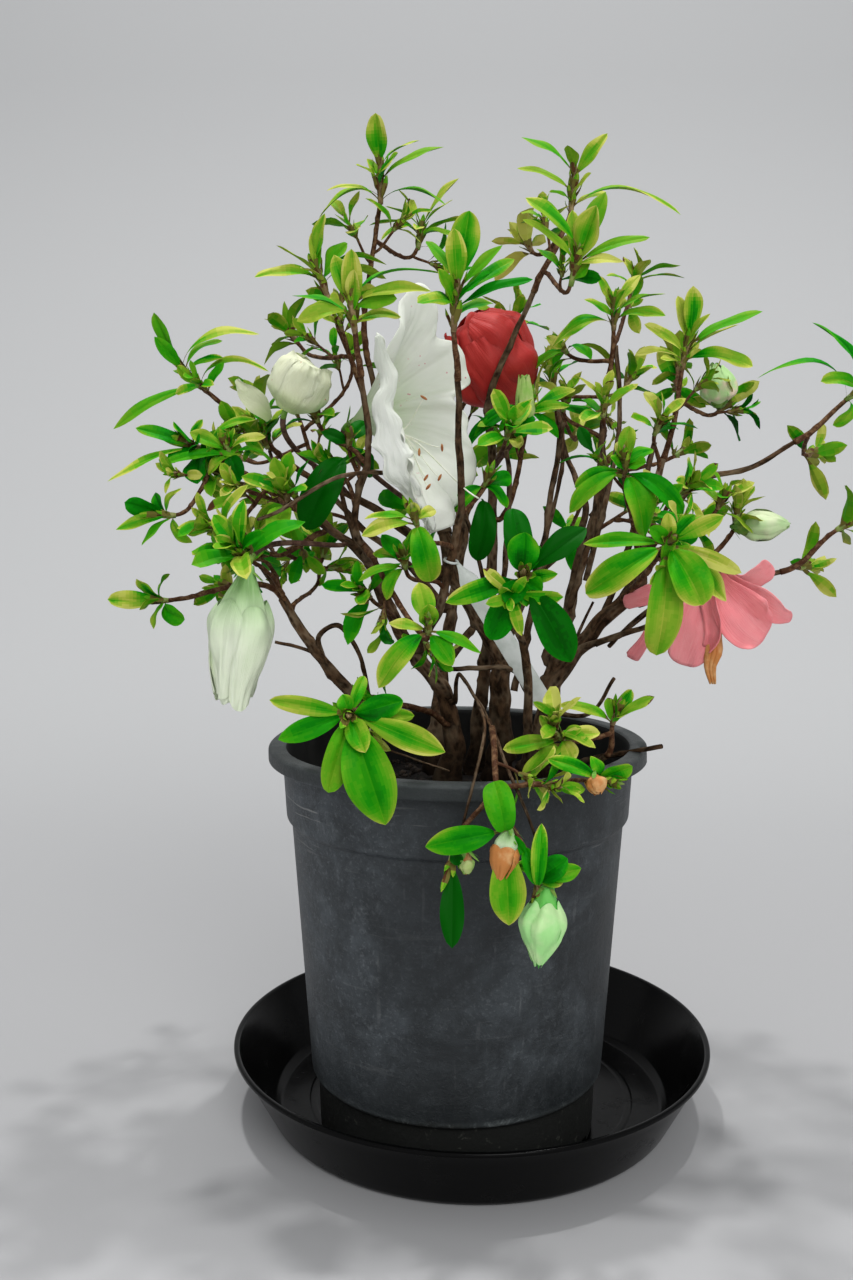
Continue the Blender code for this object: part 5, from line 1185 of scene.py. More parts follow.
def make_pot():
    """The turned pot, a little out of round, with drain slots in its foot and a chipped lip.

    With t the turn, the radius is r * (1 + wave(t) * height) * (1 - chip(t)), the lip's height
    wavers too, and the foot's lower edge rises at each slot.
    """
    floor = POT_BASE + POT_FLOOR_RISE + POT_WALL
    under_lip = POT_TOP - POT_LIP_DEPTH
    collar = COLLAR_TOP_RADIUS + POT_FULLER
    outline = [
        (0.0, POT_BASE + POT_FLOOR_RISE),
        (FOOT_LOW_RADIUS - POT_FOOT_RING, POT_BASE + POT_FLOOR_RISE),
        (FOOT_LOW_RADIUS - POT_FOOT_RING + 0.6 * MM, POT_BASE),
        (FOOT_LOW_RADIUS, POT_BASE),
        (FOOT_RADIUS, FOOT_HEIGHT - 1.8 * MM),
        (BODY_LOW_RADIUS + POT_FULLER, FOOT_HEIGHT),
        (BODY_TOP_RADIUS + POT_FULLER, SHOULDER_HEIGHT - 1.8 * MM),
        (COLLAR_LOW_RADIUS + POT_FULLER, SHOULDER_HEIGHT),
        (collar, under_lip - 1.2 * MM),
        (collar + 0.6 * MM, under_lip + 1.5 * MM),
        (POT_RIM_RADIUS - 2.4 * MM, under_lip + 1.5 * MM),
        (POT_RIM_RADIUS - 1.6 * MM, under_lip),
        (POT_RIM_RADIUS, under_lip),
        (POT_RIM_RADIUS, POT_TOP - 1.0 * MM),
        (POT_RIM_RADIUS - 1.8 * MM, POT_TOP),
        (POT_MOUTH_RADIUS + 1.2 * MM, POT_TOP),
        (POT_MOUTH_RADIUS, POT_TOP - 2.0 * MM),
        (COLLAR_LOW_RADIUS - POT_WALL, SHOULDER_HEIGHT + 2.0 * MM),
        (BODY_TOP_RADIUS - POT_WALL, SHOULDER_HEIGHT - 2.0 * MM),
        (FOOT_LOW_RADIUS - POT_WALL, floor),
        (0.0, floor),
    ]
    rings = turned(split_long(rounded(outline, 1.4 * MM), 3.0 * MM), 256)
    turn = np.arctan2(rings[..., 1], rings[..., 0])
    radius = np.hypot(rings[..., 0], rings[..., 1])
    height = rings[..., 2].copy()
    slot = np.abs((turn * DRAIN_SLOTS / math.tau) % 1 - 0.5) * math.tau / DRAIN_SLOTS
    open_slot = np.clip((DRAIN_SLOT_WIDTH / 2 - slot * FOOT_RADIUS) / (1.0 * MM), 0, 1)
    low = np.clip((POT_BASE + 2.5 * MM - height) / (2.0 * MM), 0, 1)
    outer = np.clip((radius - 0.9 * FOOT_LOW_RADIUS) / (2.0 * MM), 0, 1)
    rings[..., 2] += open_slot * low * outer * DRAIN_SLOT_HEIGHT
    top = np.clip((height - under_lip) / (POT_TOP - under_lip), 0, 1)
    wave = 0.35 * MM * np.sin(2 * turn + 0.7) + 0.18 * MM * np.sin(5 * turn + 2.0)
    rings[..., :2] *= (1 + (wave * (height / POT_TOP) / POT_RIM_RADIUS))[..., None]
    rings[..., 2] += 0.35 * MM * top * np.sin(3 * turn + 1.1)
    ragged = 1 + 0.4 * np.sin(60 * turn - 1.7)
    chip = (np.exp(-((turn - CHIP_TURN) / CHIP_REACH)**4) * ragged * top
            * np.clip((radius - 0.965 * POT_RIM_RADIUS) / (1.5 * MM), 0, 1))
    rings[..., :2] *= (1 - CHIP_SHARE * chip)[..., None]
    rings[..., 2] -= CHIP_DEPTH * chip
    rim_row = int(np.argmax(height[:, 0])) + 5
    inner = np.broadcast_to(np.arange(len(rings))[:, None] > rim_row, height.shape)
    # Faces past the rim take the second finish, kept near black as painted shade inside the pot
    heap = Heap()
    heap.add(rings + POT_PLACE, slot=inner[:-1].astype(int), around=True)
    pot = heap.piece("pot_shell", [pot_finish(), plain_finish("dirty_inner_plastic")], "pot")
    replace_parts(pot, "pot")


def make_soil():
    """Lumpy soil, a little higher in the middle, with loose crumbs and bits of bark on it."""
    rng = np.random.default_rng([SEED, 900])
    heap = Heap()
    share = np.linspace(0, 1, 40)[:, None]
    turn = math.tau * np.arange(120) / 120
    flat = joined(SOIL_RADIUS * share * np.cos(turn), SOIL_RADIUS * share * np.sin(turn), 0.0)
    lumps = ripples(flat, 14 * MM, 901) * 1.6 + ripples(flat, 4.5 * MM, 902) * 1.1
    flat[..., 2] = SOIL_TOP - 1.5 * MM + lumps * MM + SOIL_CROWN * (1 - share**2)
    heap.add(flat[::-1] + POT_PLACE, around=True)
    spot = np.sqrt(rng.uniform(0, 1, CRUMBS)) * (SOIL_RADIUS - 2 * MM)
    bearing = rng.uniform(0, math.tau, CRUMBS)
    size = rng.gamma(2.2, 0.65, CRUMBS) * MM + 0.5 * MM
    height = SOIL_TOP + SOIL_CROWN * (1 - (spot / SOIL_RADIUS)**2) - 0.6 * MM
    centre = joined(spot * np.cos(bearing), spot * np.sin(bearing), height) + POT_PLACE
    heap.add(pebbles(centre, size, rng), slot=1, around=True)
    soil = heap.piece("potting_soil", [soil_finish(), plain_finish("bark_crumbs")], "soil")
    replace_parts(soil, "soil")


def pebbles(centre, size, rng):
    """Small closed lumps: rings of five corners, each pushed in or out by chance."""
    rows, columns = 4, 5
    lean = np.linspace(0, math.pi, rows)[None, :, None]
    turn = math.tau * np.arange(columns) / columns
    rough = rng.uniform(0.6, 1.25, (len(size), rows, columns))
    rough[:, (0, -1)] = 1
    stretch = rng.uniform(0.5, 1.6, (len(size), 1, 1, 3))
    ball = joined(np.sin(lean) * np.cos(turn), np.sin(lean) * np.sin(turn), -np.cos(lean))
    return (centre[:, None, None] + ball * stretch * rough[..., None]
            * (size / 2)[:, None, None, None])


# Stems and boughs

def bark_rings(limb, seed, sides):
    """A limb's skin: the round taper, lumps, furrows that run along it, and knots at its twigs.

    With s the way along and a the angle, the radius is r(s) * (1 + lumps(s, a) + furrows(a, s)
    + knots), and the centre line wanders a little.
    """
    rng = np.random.default_rng([SEED, 300 + seed])
    points, radii = limb.points.copy(), limb.radii.copy()
    step = np.linalg.norm(np.diff(points, axis=0), axis=1).mean()
    s = np.arange(len(points)) * step
    ease = np.clip(s / (8 * MM), 0, 1) * np.clip((s[-1] - s) / (8 * MM), 0, 1)
    wander = joined(*(ripples(joined(s, i, 0), 11 * MM, 310 + 3 * seed + i) for i in range(3)))
    points += wander * (0.22 * radii * ease)[:, None]
    a = math.tau * np.arange(sides) / sides
    round_place = joined(s[:, None], 4.0 * MM * np.cos(a), 4.0 * MM * np.sin(a))
    lumps = ripples(round_place, 6.5 * MM, 400 + seed)
    furrows = ripples(round_place * [0.16, 1, 1], 1.7 * MM, 430 + seed)
    relief = 1 + 0.10 * lumps + 0.07 * furrows
    knots = max(2, int(s[-1] / (16 * MM)))
    for at, way, big in zip(rng.uniform(0.08, 0.96, knots) * s[-1],
                            rng.uniform(0, math.tau, knots), rng.uniform(0.18, 0.5, knots)):
        across = (a - way + math.pi) % math.tau - math.pi
        relief += big * np.exp(-((s[:, None] - at) / (1.9 * MM))**2 - (across / 0.65)**2)
    return points, BARK_SLIMMER * radii[:, None] * relief


def bark_uv(points, sides, start=0.0, wrap=1.0):
    """The bark's UV on a closed tube: metres along it, and the share round it times the wrap."""
    far = far_along(points)
    return joined((np.concatenate([[0], far, far[-1:]]) + start)[:, None],
                  np.linspace(0, 1, sides + 1) * wrap)


def make_limbs(limbs):
    """One bark-covered piece for each stem and bough, its foot inside what carries it."""
    finish = bark_finish()
    for n, (name, limb) in enumerate(limbs.items()):
        carrier, share, foot_radius = LIMBS[name][:3]
        sides = 22 if foot_radius > 4 else 16
        points, radii = bark_rings(limb, n, sides)
        radii = radii * THIN_BOUGHS.get(name, 1.0)
        if carrier is None:
            points = np.vstack([points[0] - UP * STEM_BURIED, points])
            radii = np.vstack([radii[0] * 1.1, radii])
        else:
            points = np.vstack([limbs[carrier].at(share)[0], points])
            collar = 1 + 0.45 * np.exp(-np.arange(len(radii)) * LIMB_STEP / (3.5 * MM))
            radii = np.vstack([radii[0] * 1.3, radii * collar[:, None]])
        heap = Heap()
        heap.add(tube(points, radii, sides), around=True,
                 uv=bark_uv(points, sides, wrap=foot_radius / 4))
        piece = heap.piece("bark_of_" + name, [finish], "bark")
        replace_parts(piece, name)


def make_bare_twigs():
    """The thin stems and the arched and broken twigs, with the boughs' bark."""
    heap = Heap()
    for n, (radius, route) in enumerate(BARE_TWIGS):
        route = np.array(route, float) * MM
        points = through(route, int(far_along(route)[-1] / LIMB_STEP))
        radii = np.linspace(radius, 0.72 * radius, len(points)) * MM
        points, radii = bark_rings(Limb(points, radii), 60 + n, BARE_TWIG_SIDES)
        heap.add(tube(points, radii, BARE_TWIG_SIDES), around=True,
                 uv=bark_uv(points, BARE_TWIG_SIDES, 0.3 * n, 0.5))
    heap.piece("bare_twigs", [bark_finish()], "bark")


# Twigs, whorls and leaves

class Plant:
    """The growing twigs, buds and leaves of the whole crown."""

    def __init__(self, limbs):
        self.limbs = limbs
        self.twigs, self.buds = Heap(), Heap()
        self.leaves = {side: [] for side in SIDES}
        self.fine_leaves = {side: [] for side in SIDES}
        self.wood = (np.concatenate([limb.points[::3] for limb in limbs.values()]),
                     np.concatenate([limb.radii[::3] for limb in limbs.values()]))
        self.tips = {name: [np.array(row[:3]) * MM for row in rows]
                     for name, (_, _, rows) in MASSES.items()}

    def side(self, name):
        if "back" in name:
            return "back"
        return "left" if self.tips[name][0][0] < 0 else "right"

    def add_twig(self, points, radii, rng, knobs=True):
        """A twig that wavers a little, with slight swellings where old leaves stood."""
        fine = through(points, max(4, int(np.linalg.norm(points[-1] - points[0]) / LIMB_STEP)))
        wide = np.interp(np.linspace(0, 1, len(fine)), np.linspace(0, 1, len(radii)), radii)
        s = np.arange(len(fine)) * LIMB_STEP
        a = math.tau * np.arange(TWIG_SIDES) / TWIG_SIDES
        shape = wide[:, None] * np.ones(TWIG_SIDES)
        if knobs:
            for at in np.arange(2 * MM, s[-1], 5.0 * MM):
                across = (a - rng.uniform(0, math.tau) + math.pi) % math.tau - math.pi
                shape = shape * (1 + 0.45 * np.exp(-((s[:, None] - at) / (1.1 * MM))**2
                                                   - (across / 0.9)**2))
        waver = joined(*(ripples(joined(s, k, 0), 9 * MM, int(rng.integers(900)))
                         for k in range(3)))
        ease = np.clip(s / (6 * MM), 0, 1) * np.clip((s[-1] - s) / (6 * MM), 0, 1)
        fine = fine + 0.25 * MM * waver * ease[:, None]
        self.twigs.add(tube(fine, shape, TWIG_SIDES), around=True)
        return Limb(fine, wide)

    def add_leaf(self, side, root, aim, up, length, width, curve, fold, twist, tone, belly,
                 spoilt=0.0, fine=False):
        leaves = self.fine_leaves if fine else self.leaves
        leaves[side].append((*root, *aim, *up, length, width, curve, fold, twist, tone,
                             belly, spoilt))

    def free(self, root, aim, length, tip, rivals):
        """Whether a leaf keeps off the wood and nearer to its own tip than to any other's."""
        sample = root + aim * length * np.array([0.45, 0.75, 1.0])[:, None]
        places, radii = self.wood
        gap = np.linalg.norm(sample[:, None] - places, axis=-1) - radii
        own = np.linalg.norm(sample - tip, axis=-1)
        other = np.linalg.norm(sample[:, None] - rivals, axis=-1).min(axis=1)
        return bool(gap.min() >= LEAF_TO_WOOD and (own < other + PAST_HALF_WAY).all())

    def whorl(self, side, tip, heading, aims, rng, rivals, tone):
        """Leaves round a tip, given as (aim, length, how far inwards), each if it has room.

        Each rises along the twig's own direction and then bends over, so that its end lies
        where its aim says.
        """
        for aim, length, inner in aims:
            root = tip + heading * WHORL_DEPTH * (1.1 * inner - 0.25)
            for size in (1.0, 0.82, 0.66):
                if self.free(root, aim, length * size, tip, rivals):
                    break
            else:
                continue
            up = unit(heading - aim * (heading @ aim) + 0.05 * rng.normal(0, 1, 3))
            curve = np.clip(rng.normal(1.15, 0.35), 0.3, 2.0) * (1 - 0.55 * inner)
            narrow = rng.uniform(0.28, 0.42)
            self.add_leaf(side, root, aim, up, length * size, length * size * narrow, curve,
                          rng.uniform(0.10, 0.65), rng.normal(0, 0.35),
                          tone + rng.normal(0, 1.5) + 0.8 * inner, rng.uniform(0.50, 0.64),
                          max(0.0, rng.normal(-0.7, 1.0)))

    def seen_whorl(self, side, tip, heading, tone, ends, rng):
        """Leaves that end where the table says. Those under 5 mm wide there are seen on edge."""
        frame = seen_frame(tip)
        for right, up, front, wide, start in ends:
            root = tip + heading * (start - 1) * MM
            end = tip + np.array([right, up, front]) @ frame * MM
            length = np.linalg.norm(end - root)
            aim = (end - root) / length
            lean = math.acos(np.clip(aim @ heading, -1, 1))
            on_edge = wide < ON_EDGE_BELOW
            open_way = heading if heading[2] > -0.2 else frame[2]
            level = unit(open_way - aim * (open_way @ aim) + 1e-4)
            normal = unit(level * (0.3 + 0.6 * lean) + frame[2] * (0.08 if on_edge else 0.75)
                          + 0.10 * rng.normal(0, 1, 3))
            width = (ON_EDGE_WIDTH if on_edge else 1.08 * wide) * MM
            curve = 0.25 + 0.62 * lean**1.4 + rng.normal(0, 0.12)
            self.add_leaf(side, root, aim, normal, length, width, curve,
                          rng.uniform(0.10, 0.50), rng.normal(0, 0.25),
                          tone + rng.normal(0, 1.2) - (1.0 if wide > 8 else 0),
                          rng.uniform(0.50, 0.62), max(0.0, rng.normal(-0.9, 1.0)), fine=True)

    def inner_leaves(self, side, tip, heading, rng, longest, tone, count=5):
        """Young leaves that stand nearly upright round the bud, still folded."""
        square, other = facing(heading, BUD_HINT)
        turn = rng.uniform(0, math.tau)
        for i in range(count):
            lean = rng.uniform(0.20, 0.62)
            aim = spun(lean, heading, spun(turn + i * GOLDEN_TURN, square, other))
            length = longest * rng.uniform(0.46, 0.80)
            self.add_leaf(side, tip + heading * rng.uniform(1, 6) * MM, aim,
                          unit(heading - aim * (heading @ aim)), length,
                          length * rng.uniform(0.28, 0.42), rng.uniform(0.0, 0.7),
                          rng.uniform(0.3, 0.8), rng.normal(0, 0.3),
                          tone + 1.2 + rng.normal(0, 0.8), rng.uniform(0.48, 0.62),
                          max(0.0, rng.normal(-1.2, 1.0)))

    def tip_bud(self, side, tip, heading, rng, size=1.0, tall=0.0):
        """The shoot past the wood, with its pointed bud and the small scales round it.

        The shoot is longer by the tall, where leaves start further up.
        """
        length, radius = 12.0 * MM * size + tall, 1.6 * MM * size
        t = np.linspace(0, 1, 9)
        points = tip + heading * ((t[:, None] - 0.08) * length)
        radii = radius * (0.72 + 0.28 * np.sin(math.pi * t)) * np.sqrt(1 - 0.98 * t**2.6)
        ridges = 1 + 0.12 * np.cos(3 * math.tau * np.arange(9) / 9 + 7 * t[:, None])
        self.buds.add(tube(points, radii[:, None] * ridges, 9), slot=int(rng.integers(0, 2)),
                      around=True)
        square, other = facing(heading, BUD_HINT)
        scales = 7 + int(tall / (2.2 * MM))
        for i in range(scales):
            out = spun(i * GOLDEN_TURN + rng.normal(0, 0.2), square, other)
            aim = spun(rng.uniform(0.10, 0.50), heading, out)
            height = (5.0 * size * MM + tall) * i / scales - 1.0 * MM
            self.add_leaf(side, tip + heading * height + out * 0.7 * MM,
                          aim, unit(heading - aim * (heading @ aim)),
                          rng.uniform(6, 12) * MM * size, rng.uniform(2.2, 3.8) * MM * size,
                          rng.uniform(-0.6, 0.5), 0.5, 0.0, SCALE_TONE, 0.42)


def grow_masses(plant):
    """Each mass by the solids' rule, then young leaves, buds and short side shoots.

    The first generator draws what the solids draw, and the extra one everything else.
    """
    for index, (name, (limb, share, rows)) in enumerate(MASSES.items()):
        rng = np.random.default_rng([SEED, index])
        extra = np.random.default_rng([SEED, 500 + index])
        side = plant.side(name)
        rivals = np.array([tip for other, tips in plant.tips.items() if other != name
                           for tip in tips])
        places = plant.tips[name]
        headings = [unit(row[-1]) for row in rows]
        seat, away = plant.limbs[limb].seat(share, places[0], LEADER_RADII[0] * TWIG_FOOT_SHARE)
        line = twig_line(seat, away, places[0], headings[0], rng.normal(0, 0.02, 3), 8)
        leader = Limb(line, np.linspace(*LEADER_RADII, len(line)))
        plant.add_twig(np.vstack([plant.limbs[limb].at(share)[0], line]),
                       np.linspace(*LEADER_RADII, len(line) + 1), extra)
        lines = [leader]
        for place, heading in zip(places[1:], headings[1:]):
            fork = float(rng.uniform(0.62, 0.86))
            near = np.argmin(np.linalg.norm(leader.points - place, axis=1))
            joint = leader.at(min(fork, max(0.25, near / (len(leader.points) - 1))))[0]
            line = twig_line(joint, unit(place - joint), place, heading,
                             rng.normal(0, 0.02, 3), 6)
            twig = Limb(line, np.linspace(*SIDE_TWIG_RADII, len(line)))
            plant.add_twig(twig.points, twig.radii, extra)
            lines.append(twig)
        for i, (place, heading) in enumerate(zip(places, headings)):
            if (name, i) in LEAF_ENDS:
                tone, ends = LEAF_ENDS[name, i]
                plant.seen_whorl(side, place, heading, tone, ends, extra)
                tall = max(row[4] for row in ends) * MM
                plant.tip_bud(side, place, heading, extra, 1.0, 0.7 * tall)
                continue
            count, longest = rows[i][3:5]
            tone = TONES.get(name, MIDDLE_TONE) + extra.normal(0, 0.9)
            aims = ruled_aims(rng, heading, rng.uniform(0, math.tau), count, longest * MM)
            plant.whorl(side, place, heading, aims, extra, rivals, tone)
            plant.inner_leaves(side, place, heading, extra, longest * MM, tone)
            plant.tip_bud(side, place, heading, extra)
        for line in lines:
            grow_shoots(plant, side, line, extra, rivals)


def ruled_aims(rng, heading, turn, count, longest):
    """Leaves of a whorl by the rule: golden turns, the lowest leaves spread and the top ones up."""
    square, other = facing(heading, LEVEL_HINT if abs(heading[2]) < 0.8 else STEEP_HINT)
    aims = []
    for k in range(count):
        inner = k / max(1, count - 1)
        lean = math.radians(82 - 50 * inner) + float(rng.normal(0, math.radians(7)))
        out = spun(turn + k * GOLDEN_TURN + float(rng.normal(0, 0.15)), square, other)
        length = longest * (1 - 0.42 * inner) * float(rng.uniform(0.88, 1.04))
        aims.append((spun(lean, heading, out), length, inner))
    return aims


def grow_shoots(plant, side, line, rng, rivals):
    """Short shoots along a twig, each with a small whorl of its own."""
    for _ in range(int(far_along(line.points)[-1] / SHOOT_SPACING)):
        place, _, heading = line.at(rng.uniform(0.25, 0.85))
        out = unit(np.cross(heading, rng.normal(0, 1, 3)))
        aim = unit(out + heading * rng.uniform(0.6, 1.2) + UP * 0.3)
        end = place + aim * rng.uniform(8, 16) * MM
        bend = rng.normal(0, 0.05, 3)
        points = twig_line(place, unit(out + heading * 0.5), end, aim, bend, 5)
        plant.add_twig(points, np.linspace(*SHOOT_RADII, len(points)), rng, knobs=False)
        tone = 5.2 + rng.normal(0, 1.0)
        aims = ruled_aims(rng, aim, rng.uniform(0, math.tau), int(rng.integers(4, 7)),
                          rng.uniform(17, 25) * MM)
        plant.whorl(side, end, aim, aims, rng, rivals, tone)
        plant.inner_leaves(side, end, aim, rng, 17 * MM, tone, 2)
        plant.tip_bud(side, end, aim, rng, 0.7)


def grow_finer_tips(plant):
    """Whorls inside the crown, each on a thin twig from the nearest wood below it."""
    places = plant.wood[0]
    no_rival = np.full((1, 3), 9.0)
    for n, (place, heading, tone, *leaves) in enumerate(FINER_TIPS + SEEN_TIPS):
        rng = np.random.default_rng([SEED, 800 + n])
        place, heading = np.array(place) * MM, unit(heading)
        far = np.linalg.norm(places - place, axis=1)
        above = np.clip(places[:, 2] - place[2] + 14 * MM, 0, None)
        start = places[np.argmin(far + 2.0 * above + 0.3 * np.abs(far - 25 * MM))]
        away = unit(unit(place - start) + 0.4 * UP)
        line = twig_line(start, away, place, heading, rng.normal(0, 0.03, 3), 7)
        plant.add_twig(line, np.linspace(*SIDE_TWIG_RADII, len(line)), rng)
        side = "back" if place[1] > 30 * MM else "left" if place[0] < 0 else "right"
        if len(leaves) == 1:
            plant.seen_whorl(side, place, heading, tone, leaves[0], rng)
        else:
            longest, count = leaves[0] * MM, leaves[1]
            aims = ruled_aims(rng, heading, rng.uniform(0, math.tau), count, longest)
            plant.whorl(side, place, heading, aims, rng, no_rival, tone)
            plant.inner_leaves(side, place, heading, rng, 0.8 * longest, tone, 3)
        plant.tip_bud(side, place, heading, rng)


def leaf_grids(rows, grid):
    """All leaves at once, each a grid of points along and across it.

    With u the way along, the midrib turns by curve * (1 - (1 - u)^1.7) in all, and the whole
    line is then turned and scaled so that it ends at the aim times the length. The half width
    is W / 2 * t^a * (1 - t)^b over its greatest value, where t is the share of the blade beyond
    the stalk and the widest place is at belly. Across, the edges rise by the fold and roll back.
    """
    data = np.array(rows)
    root, aim, up = data[:, None, 0:3], unit(data[:, 3:6]), data[:, 6:9]
    length, width, curve, fold, twist, tone, belly, _ = data[:, 9:17, None].transpose(1, 0, 2)
    up = unit(up - aim * (up * aim).sum(axis=1, keepdims=True))[:, None]
    aim = aim[:, None]
    u = np.linspace(0, 1, grid[0])
    turn = curve * (0.5 - (1 - (1 - u)**1.7))
    middle = (turn[:, 1:] + turn[:, :-1]) / 2
    x = np.pad(np.cumsum(np.cos(middle), axis=1), ((0, 0), (1, 0)))
    z = np.pad(np.cumsum(np.sin(middle), axis=1), ((0, 0), (1, 0)))
    back = np.arctan2(z[:, -1:], x[:, -1:])
    size = length / np.hypot(x[:, -1:], z[:, -1:])
    x, z = (size * (x * np.cos(back) + z * np.sin(back)),
            size * (z * np.cos(back) - x * np.sin(back)))
    tangent, normal = spun(turn - back, aim, up), spun(turn - back, up, -aim)
    side = np.cross(tangent, normal)
    side, normal = spun(twist * u, side, normal), spun(twist * u, normal, -side)
    centre = root + aim * x[..., None] + up * z[..., None]
    t = np.clip((u - LEAF_STALK) / (1 - LEAF_STALK), 0, 1)
    b = 0.70 + 0.16 * np.sin(11 * tone)
    a = b * belly / (1 - belly)
    blade = t**a * (1 - t)**b / (belly**a * (1 - belly)**b)
    half = np.maximum(width / 2 * blade, np.where(u < 0.9, 0.55, 0.06) * MM)[..., None]
    v = grid[1]
    roll = np.abs(v)**2
    wave = 0.16 * np.sin(10 * u[:, None] + 2.5 * v + 9 * tone[..., None]) * roll
    rise = fold[..., None] * (np.abs(v) - 0.5 * roll) - 0.12 * (np.abs(v) < 0.2) + wave
    return (centre[:, :, None] + side[:, :, None] * (half * v)[..., None]
            + normal[:, :, None] * (half * rise)[..., None])


def leaf_slots(rows, grid):
    """Each face's tone: yellower at the edge, the tip and in soft blotches, pale on the midrib.

    The foot of a yellower leaf is olive, and spoilt edges and tips are brown. A bud's scale is
    olive or brown, with a green tip.
    """
    data = np.array(rows)
    tone, spoilt = data[:, LEAF_TONE, None, None], data[:, LEAF_SPOILT, None, None]
    rng = np.random.default_rng([SEED, 77])
    steps, across = grid
    u = ((np.arange(steps - 1) + 0.5) / (steps - 1))[:, None]
    v = (across[1:] + across[:-1]) / 2
    spots = joined(1.6 * u, 0.7 * v, 3.0 * np.arange(len(tone))[:, None, None])
    v = np.abs(v)
    blotch, mottle = ripples(spots, 0.55, 78), ripples(spots * [2.2, 2.2, 1], 0.5, 79)
    outward = v * (0.35 + 0.75 * u)
    paler = 3.9 * outward**2 + 0.9 * (v < 0.04) + 2.6 * u**3 + 2.1 * blotch + 0.8 * mottle - 0.5
    gain = rng.uniform(0.3, 1.5, (len(tone), 1, 1)) * np.clip(tone / 4, 0.15, 1)
    slot = tone - 0.6 + paler * gain + rng.normal(0, 0.10, paler.shape)
    slot = np.clip(np.round(2 * slot), 0, HALF_TONES - 1)
    slot = np.where((u < 0.17) & (tone > 3.0), OLIVE_SLOT, slot)
    slot = np.where(spoilt * (u**2 + 0.3 * v**4) + 0.4 * blotch > 1.25, BROWN_SLOT, slot)
    green = np.where(blotch > 0, SCALE_TIP_SLOTS[1], SCALE_TIP_SLOTS[0])
    of_scale = np.where(u > 0.62, green, OLIVE_SLOT + (blotch > 0.5))
    return np.where(tone >= len(LEAF_TONES), of_scale, slot).astype(int)


def make_foliage(plant):
    """The joined leaves of each side of the crown, the joined twigs and the joined buds."""
    finishes = leaf_finishes()
    for side in SIDES:
        seen = plant.fine_leaves[side]
        fine = [row for row in seen if row[LEAF_WIDTH] < LARGE_LEAF_WIDTH]
        large = [row for row in seen if row[LEAF_WIDTH] >= LARGE_LEAF_WIDTH]
        heap = Heap()
        for some, grid in ((plant.leaves[side], LEAF_GRID), (fine, FINE_LEAF_GRID),
                           (large, LARGE_LEAF_GRID)):
            if some:
                heap.add(leaf_grids(some, grid), slot=leaf_slots(some, grid))
        piece = heap.piece("foliage_" + side, finishes, "leaf", merge=False)
        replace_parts(piece, *[name for name in MASSES if plant.side(name) == side])
    plant.twigs.piece("twigs", [twig_finish()], "bark")
    scales = [plain_finish("bud_scale_green"), plain_finish("bud_scale_brown")]
    plant.buds.piece("leaf_buds", scales, "leaf")


# Blooms

def round_trip(places, steps):
    """Points round a smooth closed curve through the places, and how many places they are on."""
    turn = np.arange(steps) * len(places) / steps
    span = turn.astype(int)
    around = (places[(span + k) % len(places)] for k in (-1, 0, 1, 2))
    return curved(*around, (turn - span)[:, None]), turn


def funnel(heap, rim, notches, base, throat, seed, rows=40, columns=180):
    """A trumpet from its base through the throat out to a given rim.

    Each column is a Bezier curve of fourth order. It leaves a small ring at the base, passes two
    rings round the throat and a place in front of the rim, and rolls back to the rim. A groove
    runs in from each notch between two lobes, and ripples crumple it more towards the rim.
    """
    rim, turn = round_trip(np.array(rim, float) * MM, columns)
    middle = rim.mean(axis=0)
    axis = unit(middle - base)
    out = rim - middle
    out = unit(out - (out @ axis)[:, None] * axis)
    reach = np.linalg.norm(rim - middle, axis=1)[:, None]
    near = base + 0.6 * (throat - base)
    knots = (base + 0 * out, near + 6 * MM * out, throat + 0.46 * reach * out,
             throat + 0.74 * (rim - throat) + 0.20 * reach * axis, rim)
    s = np.linspace(0, 1, rows)[:, None, None]
    points = sum(math.comb(4, k) * s**k * (1 - s)**(4 - k) * knot for k, knot in enumerate(knots))
    many = turn[-1] + turn[1]
    gap = np.min([np.abs((turn - notch + many / 2) % many - many / 2) for notch in notches],
                 axis=0)
    groove = np.exp(-(gap / 0.45)**2)[None, :, None]
    soft = ripples(points, 17 * MM, seed)[..., None] * s**1.5
    frill = ripples(points, 5.5 * MM, seed + 1)[..., None] * s**3
    veins = np.cos(turn * math.tau * 1.7)[None, :, None] * np.sin(math.pi * s)
    points = points + axis * MM * (2.6 * soft + 1.0 * frill - 2.6 * groove * s * (1.4 - s)
                                   + 0.30 * veins)
    points = points + out * MM * (1.0 * soft - 0.5 * frill)
    heap.add(points, around=True)


def seen_frame(place):
    """Right, up, and out towards the place that the photograph was taken from."""
    out = unit(CAMERA_PLACE - place)
    right = unit(np.cross(UP, out))
    return np.stack([right, np.cross(out, right), out])


